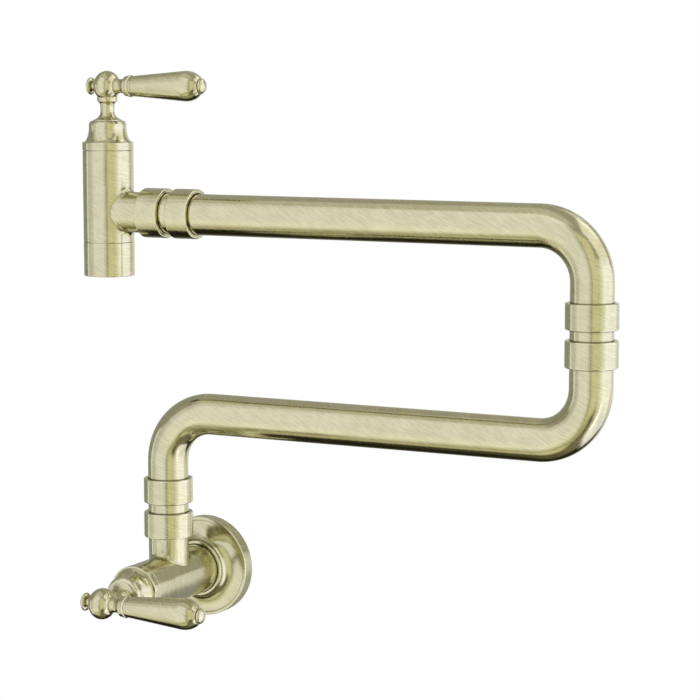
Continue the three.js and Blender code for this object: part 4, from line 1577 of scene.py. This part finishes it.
    def build(self, seat: Matrix, top: float) -> None:
        """Makes the lever's five pieces.

        Args:
            seat: The bonnet's seam on the valve's axis.
            top: Height of the bonnet's top.
        """
        level = seat @ lift(top + self.rise)
        along = level @ Matrix(((0, 0, 1), (1, 0, 0), (0, 1, 0))).to_4x4()
        back = level @ Matrix(((0, 0, -1), (-1, 0, 0), (0, 1, 0))).to_4x4()
        hub = f"{self.prefix}_handle_hub"
        neck = turned(self.neck(), self.facets).mesh(f"{hub}_neck", seat @ lift(top))
        bead = turned(self.bead(), self.facets).mesh(f"{hub}_bead", along)
        self.shop.fit(hub, united(hub, bead, neck))
        for name, points, place in (
            ("hub_button", self.button(), back),
            ("lever_ferrule", self.ferrule(), along),
            ("lever_grip", self.grip(), along),
            ("lever_finial", self.finial(), along),
        ):
            self.shop.turn(f"{self.prefix}_{name}", points, place, self.facets)


# ---- wall plate and supply


@dataclass
class Rosette(Assembly):
    """The dished plate on the wall; heights are from the wall."""

    radius: float = 30.5
    foot_edge: float = 0.15
    rim_height: float = 8.2
    rim_edge: float = 0.45
    bead_width: float = 1.9
    bead_step: float = 0.7
    bead_edge: float = 0.2
    boss_radius: float = 17.1
    boss_height: float = 15.6
    boss_lip: float = 0.9
    bore: float = 15.4
    bore_edge: float = 0.12
    wall: float = 2.0
    back_depth: float = 5.6
    boss_back_depth: float = 7.0
    groove_floor: float = 16.9
    groove_ends: Point = (9.15, 11.25)
    dish_steps: int = 30
    lip_start: float = 20.0
    lip_steps: int = 8
    facets: int = 160

    def points(self) -> list[Point]:
        """Draws its outline.

        Returns:
            Radius and height of each point.
        """
        radius = self.radius - self.bead_width
        low = self.rim_height - self.bead_step
        high = self.boss_height - self.boss_lip
        radii = (radius - self.boss_radius, high - low)
        dish = arc((radius, high), radii, 270, 180, self.dish_steps)
        centre, radii = (self.boss_radius - self.boss_lip, high), (self.boss_lip, self.boss_lip)
        lip = arc(centre, radii, self.lip_start, 90, self.lip_steps)
        near, far = self.groove_ends
        return outline([
            (self.radius - self.wall, 0.0),
            Corner(self.radius, 0.0, self.foot_edge),
            Corner(self.radius, self.rim_height, self.rim_edge),
            Corner(radius + self.bead_edge, self.rim_height, self.bead_edge),
            *dish,
            *lip,
            Corner(self.bore, self.boss_height, self.bore_edge),
            (self.bore, far),
            (self.groove_floor, far),
            (self.groove_floor, near),
            (self.bore, near),
            (self.bore, self.boss_back_depth),
            (self.boss_radius + self.wall, self.boss_back_depth),
            (self.radius - self.wall, self.back_depth),
        ])

    def build(self) -> None:
        """Makes the plate."""
        node = "wall_rosette"
        self.shop.turn(node, self.points(), Facing.ROOM.foot(node), self.facets)


def thread_growth() -> Growth:
    """Geometry nodes that wind a ridge round a pipe end.

    Returns:
        The tree.
    """
    tree = Growth("pipe_thread", "Pipe", {
        "Radius": "Float", "Length": "Float", "Turns": "Float", "Ridge": "Float",
        "Foot": "Vector", "Turn": "Rotation",
    })
    helix = tree.node("GeometryNodeCurveSpiral", None, {
        "Resolution": TURN_STEPS, "Rotations": tree.given("Turns"),
        "Start Radius": tree.given("Radius"), "End Radius": tree.given("Radius"),
        "Height": tree.given("Length"),
    })
    upright = tree.node("GeometryNodeSetCurveNormal", {"mode": "Z_UP"}, {0: helix})
    ridge = tree.node("GeometryNodeCurvePrimitiveCircle", {"mode": "RADIUS"}, {
        "Resolution": RIDGE_SIDES, "Radius": tree.given("Ridge"),
    })
    wound = tree.node("GeometryNodeCurveToMesh", None, {
        "Curve": upright, "Profile Curve": ridge, "Fill Caps": True,
    })
    moved = tree.node("GeometryNodeTransform", None, {
        "Geometry": wound, "Translation": tree.given("Foot"), "Rotation": tree.given("Turn"),
    })
    tree.close(tree.node("GeometryNodeJoinGeometry", None, {0: [tree.given("Pipe"), moved]}))
    return tree


@dataclass
class Nipple(Assembly):
    """The threaded supply pipe behind the plate; heights are from the wall."""

    root_radius: float = 9.45
    crest_radius: float = 10.35
    bore: float = 6.5
    edge: float = 0.8
    pitch: float = 1.814
    ridge: float = 0.95
    thread_start: float = 1.0
    thread_length: float = 14.4
    root_end: float = 16.0
    crest_start: float = 16.8

    def build(self) -> None:
        """Makes the nipple with its thread."""
        node = "inlet_nipple"
        place = Facing.ROOM.foot(node)
        length = sides(node).y
        core = turned(outline([
            (self.bore, 0.0),
            Corner(self.root_radius, 0.0, self.edge),
            (self.root_radius, self.root_end),
            (self.crest_radius, self.crest_start),
            (self.crest_radius, length),
            (self.bore, length),
        ])).mesh(node, place)
        data = thread_growth().grow(linked(f"{node}_core", core), node, {
            "Radius": (self.crest_radius - self.ridge) * MM,
            "Length": self.thread_length * MM,
            "Turns": self.thread_length / self.pitch,
            "Ridge": self.ridge * MM,
            "Foot": tuple((place @ lift(self.thread_start)).translation),
            "Turn": tuple(place.to_euler()),
            "Finish": self.shop.finishes.by_slot[Slot.BARE_BRASS],
        })
        self.shop.fit(node, data, Slot.BARE_BRASS)


# ---- outlet


def screen_growth() -> Growth:
    """Geometry nodes that lay crossed wires over a round screen.

    Returns:
        The tree.
    """
    tree = Growth("outlet_screen", "Rim", {
        "Radius": "Float", "Wire": "Float", "Wires": "Int", "Middle": "Vector",
    })
    radius, wire = tree.given("Radius"), tree.given("Wire")
    edge = radius * SCREEN_SPAN
    line = tree.node("GeometryNodeMeshLine", {"mode": "END_POINTS"}, {
        "Count": tree.given("Wires"),
        "Start Location": tree.node("ShaderNodeCombineXYZ", None, {"X": edge * -1.0}),
        "Offset": tree.node("ShaderNodeCombineXYZ", None, {"X": edge}),
    })
    across = tree.node("ShaderNodeSeparateXYZ", None, {0: tree.node("GeometryNodeInputPosition")})
    half = {0: radius * radius - across * across}
    chord = tree.node("ShaderNodeMath", {"operation": "SQRT"}, half) * 2.0
    laid = tree.node("GeometryNodeInstanceOnPoints", None, {
        "Points": line,
        "Instance": tree.node("GeometryNodeMeshCube", None, {"Size": (1.0, 1.0, 1.0)}),
        "Scale": tree.node("ShaderNodeCombineXYZ", None, {"X": wire, "Y": chord, "Z": wire}),
    })
    crossed = tree.node("GeometryNodeTransform", None, {
        "Geometry": laid, "Rotation": (0.0, 0.0, math.pi / 2),
        "Translation": tree.node("ShaderNodeCombineXYZ", None, {"Z": wire * WIRE_LIFT}),
    })
    placed = tree.node("GeometryNodeTransform", None, {
        "Geometry": tree.node("GeometryNodeJoinGeometry", None, {0: [laid, crossed]}),
        "Translation": tree.given("Middle"),
    })
    tree.close(tree.node("GeometryNodeJoinGeometry", None, {0: [tree.given("Rim"), placed]}))
    return tree


@dataclass
class Outlet(Assembly):
    """The ring at the spout's foot with its aerator; heights are from the ring's lip."""

    radius: float = 15.05
    height: float = 20.1
    bore: float = 12.65
    lip_bore: float = 10.6
    lip_thickness: float = 2.0
    lip_edges: Point = (0.25, 0.55)
    edge: float = 0.3
    housing_wall: float = 2.0
    housing_ledge: float = 2.9
    ledge_height: float = 1.0
    ledge_edge: float = 0.2
    rim_width: float = 0.7
    rim_edge: float = 0.1
    wire: float = 0.28
    wires: int = 21
    wire_height: float = 0.3

    def build(self) -> None:
        """Makes the ring, the aerator's housing and its screen."""
        node = "outlet_ring"
        inner, outer = self.lip_edges
        self.shop.turn(node, outline([
            Corner(self.lip_bore, 0.0, inner),
            Corner(self.radius, 0.0, outer),
            Corner(self.radius, self.height, self.edge),
            (self.bore, self.height),
            (self.bore, self.lip_thickness),
            (self.lip_bore, self.lip_thickness),
        ]), Facing.UP.foot(node))
        self.build_housing()
        self.build_screen()

    def build_housing(self) -> None:
        """Makes the aerator's housing, a sleeve with a ledge."""
        node = "aerator_housing"
        radius, tall = sides(node).x / 2, sides(node).z
        inner, ledge = radius - self.housing_wall, radius - self.housing_ledge
        self.shop.turn(node, outline([
            Corner(ledge, 0.0, self.ledge_edge),
            Corner(radius, 0.0, self.edge),
            Corner(radius, tall, self.edge),
            (inner, tall),
            (inner, self.ledge_height),
            Corner(ledge, self.ledge_height, self.ledge_edge),
        ]), Facing.UP.foot(node), slot=Slot.PLASTIC)

    def build_screen(self) -> None:
        """Makes the screen: a rim with crossed wires."""
        node = "aerator_screen"
        place = Facing.UP.foot(node)
        radius, tall = sides(node).x / 2, sides(node).z
        corners = (
            (radius - self.rim_width, 0.0), (radius, 0.0),
            (radius, tall), (radius - self.rim_width, tall),
        )
        rim = turned(outline([Corner(*corner, self.rim_edge) for corner in corners]))
        source = linked(f"{node}_rim", rim.mesh(node, place))
        data = screen_growth().grow(source, node, {
            "Radius": (radius - 0.5 * self.rim_width) * MM, "Wire": self.wire * MM,
            "Wires": self.wires, "Middle": tuple((place @ lift(self.wire_height)).translation),
            "Finish": self.shop.finishes.by_slot[Slot.STEEL],
        })
        self.shop.fit(node, data, Slot.STEEL)


# ---- the tap


def raised(spot: Vector, height: float) -> Vector:
    """The point above or below a spot, at a height in metres."""
    return Vector((spot.x, spot.y, height))


@dataclass
class PotFiller(Assembly):
    """The whole tap, built on the frame.

    A foot is a barrel's outline below its seat; heights are from the bonnet's seam.
    """

    below_elbow: float = 41.5
    tube_radius: float = 12.0
    hem: float = 0.05
    wall_length: float = 78.6
    wall_foot: tuple[Point, ...] = ((8.0, -49.5), (8.0, -62.7), (10.65, -62.7), (10.65, -78.6))
    spout_length: float = 54.2
    spout_foot: tuple[Corner | Point, ...] = (
        (9.0, -49.5), (9.0, -60.2), Corner(12.4, -60.2, 0.3), (12.4, -54.2),
    )

    def build(self) -> None:
        """Builds the sub-assemblies in order, from the wall out to the spout."""
        Rosette(self.shop).build()
        Nipple(self.shop).build()
        Swivel(self.shop, "wall_swivel").build()
        Swivel(self.shop, "elbow_swivel").build()
        Swivel(self.shop, "spout_union", Facing.RIGHT, "tailpiece").build()
        self.build_tubes()
        self.build_valves()
        Outlet(self.shop).build()

    def build_tubes(self) -> None:
        """Sweeps the two arm tubes."""
        up, right = Vector(UP_WAY), Vector((1.0, 0.0, 0.0))
        wall, elbow = middle("wall_swivel_nut"), middle("elbow_swivel_nut")
        low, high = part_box("lower_arm_tube")
        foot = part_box("elbow_swivel_nut")[0].z
        level = foot - self.below_elbow * MM
        corners = [raised(wall, low.z), raised(wall, level)]
        corners += [raised(elbow, level), raised(elbow, high.z)]
        # Painted shade on each tube where it leaves a collar.
        seams = [
            Seam(raised(wall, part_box("wall_swivel_collar")[1].z), up),
            Seam(raised(elbow, foot - self.hem * MM), -up),
        ]
        tree = tube_growth()
        ArmTube(self.shop, "lower_arm_tube", corners, seams).build(tree)
        low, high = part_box("upper_arm_tube")
        level = high.z - self.tube_radius * MM
        union = Vector((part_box("spout_union_collar")[1].x, elbow.y, level))
        corners = [raised(elbow, low.z), raised(elbow, level), Vector((low.x, elbow.y, level))]
        seams = [Seam(raised(elbow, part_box("elbow_swivel_collar")[1].z), up), Seam(union, right)]
        ArmTube(self.shop, "upper_arm_tube", corners, seams).build(tree)

    def build_valves(self) -> None:
        """Makes both valves with their bonnets and levers."""
        wall = ValveBody(
            self.shop, "wall_valve_body", "wall_bonnet", "wall_swivel_nut", Facing.ROOM,
            Facing.UP, self.wall_length, self.wall_foot, self.shop.finishes.round_brass,
        )
        spout = ValveBody(
            self.shop, "spout_valve_body", "spout_bonnet", "spout_union_nut", Facing.UP,
            Facing.RIGHT, self.spout_length, self.spout_foot,
        )
        for prefix, body in (("wall", wall), ("spout", spout)):
            body.build()
            bonnet = Bonnet(self.shop, prefix)
            bonnet.build(body.place())
            Lever(self.shop, prefix).build(body.place(), bonnet.top())


def dress_frame(nodes: Mapping[str, bpy.types.Object], record: Mapping, finishes: Finishes) -> None:
    """Gives every node that stays on the frame its finish.

    Args:
        nodes: The frame's nodes.
        record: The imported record, which names each node's slot.
        finishes: The tap's materials.
    """
    slots = {part["node"]: part["material_slot"] for part in record["subparts"]}
    for name, node in nodes.items():
        node.data.materials.clear()
        node.data.materials.append(finishes.by_slot[Slot(slots[name])])


# ---- studio


def outward(azimuth: float, elevation: float) -> Vector:
    """The direction from the tap out to a lamp or camera.

    Args:
        azimuth: Degrees round from the front, to the right.
        elevation: Degrees above the level.

    Returns:
        The direction, of length 1.
    """
    turn, rise = math.radians(azimuth), math.radians(elevation)
    flat = math.cos(rise)
    return Vector((math.sin(turn) * flat, -math.cos(turn) * flat, math.sin(rise)))


@dataclass(frozen=True)
class SoftBox:
    """A large soft lamp; angles are in degrees as seen from the tap."""

    name: str
    azimuth: float
    elevation: float
    width: float
    height: float
    colour: Colour
    away: float = 2.4


@dataclass(frozen=True)
class Glow:
    """A side of the room, which fades in as a view comes near its middle, in degrees."""

    azimuth: float
    elevation: float
    starts: float
    full: float

    def share(self, paint: Paint, way: Wire) -> Wire:
        """How much of it a view along a way meets, from 0 to 1."""
        ahead = paint.along(way, outward(self.azimuth, self.elevation))
        return paint.spread(ahead, self.starts, self.full)


@dataclass
class Studio:
    """Camera, floor and lamps; angles are in degrees, lengths in metres."""

    target: Vector = field(default_factory=lambda: Vector((0.12153, -0.04683, 0.14468)))
    azimuth: float = 26.98
    elevation: float = 6.95
    distance: float = 1.26432
    lens: float = 114.65
    sensor: float = 36.0
    far: float = 50.0
    floor_place: Spot = (0.1, -1.1, -0.9)
    floor_size: float = 6.0
    floor_colour: Colour = (0.8, 0.8, 0.79)
    floor_white: float = 0.88
    white: Colour = (1.0, 1.0, 1.0)
    room: Colour = (0.495, 0.48, 0.42)
    side_room: Colour = (0.4, 0.395, 0.35)
    under_front: Colour = (0.62, 0.60, 0.42)
    under_foot: Colour = (0.94, 0.89, 0.62)
    under_back: Colour = (0.02, 0.02, 0.01)
    under_deep: Colour = (0.15, 0.14, 0.08)
    under_right: Colour = (0.28, 0.26, 0.17)
    front: Glow = Glow(-25.0, 0.0, 0.25, 0.42)
    dim_side: Glow = Glow(-110.0, 0.0, 0.5, 0.95)
    bright_foot: Glow = Glow(-14.0, -65.0, 0.955, 0.995)
    right_foot: Glow = Glow(80.0, -62.0, 0.84, 0.96)
    behind: Glow = Glow(179.0, -6.0, 0.84, 0.96)
    foot_rise: Point = (-0.9, -0.84)
    deep_rise: Point = (-0.95, -0.88)
    wall_rise: Point = (-0.64, -0.1)
    back_lift: float = 0.1
    mirrored_white: float = 0.85
    boxes: tuple[SoftBox, ...] = (
        SoftBox("left_box", -22.0, 5.0, 80.0, 114.0, (0.37, 0.385, 0.48)),
        SoftBox("left_key", -18.5, 6.0, 55.0, 98.0, (0.27, 0.27, 0.32)),
        SoftBox("left_wing", -72.5, -21.0, 21.0, 58.0, (0.37, 0.385, 0.48)),
        SoftBox("left_edge", -79.0, -21.0, 8.0, 58.0, (0.46, 0.47, 0.57)),
        SoftBox("top_box", -38.0, 72.0, 60.0, 38.0, (0.24, 0.25, 0.25)),
        SoftBox("front_edge", 26.5, 6.0, 6.0, 78.0, (0.38, 0.35, 0.16)),
        SoftBox("front_box", 43.0, 8.0, 28.0, 74.0, (0.46, 0.44, 0.26)),
        SoftBox("right_wing", 63.5, -13.0, 11.0, 70.0, (0.56, 0.56, 0.50)),
        SoftBox("right_middle", 72.5, -13.0, 7.0, 70.0, (0.71, 0.73, 0.75)),
        SoftBox("right_turn", 80.0, -13.0, 8.0, 70.0, (0.90, 0.94, 1.04)),
        SoftBox("right_edge", 90.0, -13.0, 14.0, 70.0, (0.06, 0.06, 0.08)),
        SoftBox("right_box", 111.5, 3.0, 56.0, 30.0, (0.98, 1.02, 1.38)),
        SoftBox("right_high", 111.5, 41.0, 56.0, 46.0, (0.78, 0.78, 0.86)),
        SoftBox("right_low", 109.0, -38.0, 52.0, 52.0, (1.14, 1.16, 1.42)),
        SoftBox("right_back", 145.0, -15.0, 13.0, 44.0, (0.60, 0.62, 0.78)),
        SoftBox("back_high", 157.0, 46.0, 34.0, 24.0, (0.42, 0.43, 0.50)),
    )

    def aim(self, made: bpy.types.Object, way: Vector, away: float) -> None:
        """Puts a lamp or the camera out along a way, facing the tap."""
        made.location = self.target + way * away
        made.rotation_euler = way.to_track_quat("Z", "Y").to_euler()

    def camera(self) -> None:
        """Puts the camera at the photograph's angle."""
        data = bpy.data.cameras.new("camera")
        data.lens = self.lens
        data.sensor_width = self.sensor
        data.sensor_fit = "HORIZONTAL"
        data.clip_end = self.far
        camera = linked("camera", data)
        self.aim(camera, outward(self.azimuth, self.elevation), self.distance)
        bpy.context.scene.camera = camera

    def hang(self, box: SoftBox) -> None:
        """Hangs a soft box that faces the tap.

        Args:
            box: The lamp's place, size and colour.
        """
        data = bpy.data.lights.new(box.name, "AREA")
        data.shape = "RECTANGLE"
        data.size = 2 * box.away * math.tan(math.radians(box.width / 2))
        data.size_y = 2 * box.away * math.tan(math.radians(box.height / 2))
        data.color = box.colour
        data.energy = math.pi * data.size * data.size_y
        lamp = linked(box.name, data)
        self.aim(lamp, outward(box.azimuth, box.elevation), box.away)
        lamp.visible_camera = False

    def world(self) -> None:
        """Lights the room dimly, darker below, with a white background behind the tap.

        The undersides mirror a paler floor in front, on the right and straight below.
        """
        world = bpy.data.worlds.new("room")
        world.use_nodes = True
        bpy.context.scene.world = world
        paint = Paint(world.node_tree)
        way = paint.node("ShaderNodeTexCoord")
        rise = paint.node("ShaderNodeSeparateXYZ", None, {0: way}, "Z")
        front = self.front.share(paint, way)
        foot = paint.spread(rise, *self.foot_rise)
        foot = paint.blend(foot, self.under_foot, self.under_front)
        dark = paint.spread(rise, *self.deep_rise)
        dark = paint.blend(dark, self.under_deep, self.under_back)
        dark = paint.blend(self.right_foot.share(paint, way), dark, self.under_right)
        lit = front + self.bright_foot.share(paint, way)
        below = paint.blend(paint.spread(lit, 0.0, 1.0), dark, foot)
        walls = paint.blend(self.dim_side.share(paint, way), self.room, self.side_room)
        lifted = rise + (1 - front) * self.back_lift
        dim = paint.blend(paint.spread(lifted, *self.wall_rise), below, walls)
        path = paint.node("ShaderNodeLightPath").out
        mirrored = path("Is Glossy Ray") + path("Is Transmission Ray")
        share = mirrored * self.behind.share(paint, way) * self.mirrored_white
        share = share + path("Is Camera Ray")
        colour = paint.blend(share, dim, self.white)
        inputs = {"Color": colour, "Strength": 1.0}
        paint.surface("ShaderNodeBackground", inputs, "ShaderNodeOutputWorld")

    def floor(self) -> None:
        """Lays the pale floor, well below the tap."""
        made, paint = new_paint("pale_floor")
        matt = paint.node("ShaderNodeBsdfDiffuse", None, {"Color": rgba(self.floor_colour)})
        glow = {"Color": rgba(self.white), "Strength": 1.0}
        path = paint.node("ShaderNodeLightPath").out
        seen = path("Is Camera Ray") + path("Is Glossy Ray") + path("Is Transmission Ray")
        paint.surface("ShaderNodeMixShader", {
            0: seen * self.floor_white, 1: matt, 2: paint.node("ShaderNodeEmission", None, glow),
        })
        half = self.floor_size / 2 / MM
        shell = Shell()
        corners = ((-half, -half), (half, -half), (half, half), (-half, half))
        shell.faces.append(tuple(shell.row((x, y, 0.0) for x, y in corners)))
        data = shell.mesh("floor", Matrix.Translation(self.floor_place))
        data.materials.append(made)
        sheet = linked("floor", data)
        sheet.visible_glossy = False

    def build(self) -> None:
        """Sets up the whole studio."""
        bpy.context.scene.view_settings.view_transform = "Standard"
        self.camera()
        self.world()
        self.floor()
        for box in self.boxes:
            self.hang(box)


def main() -> None:
    """Builds the dressed tap and its studio."""
    logging.basicConfig(level=logging.INFO, format="%(message)s")
    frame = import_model()
    record = frame["record"]
    finishes = Finishes()
    shop = Workshop(finishes, record["behaviour"]["bodies"])
    dress_frame(frame["nodes"], record, finishes)
    PotFiller(shop).build()
    Studio().build()
    log.info("%d fine pieces", len(shop.made))


if __name__ == "__main__":
    main()
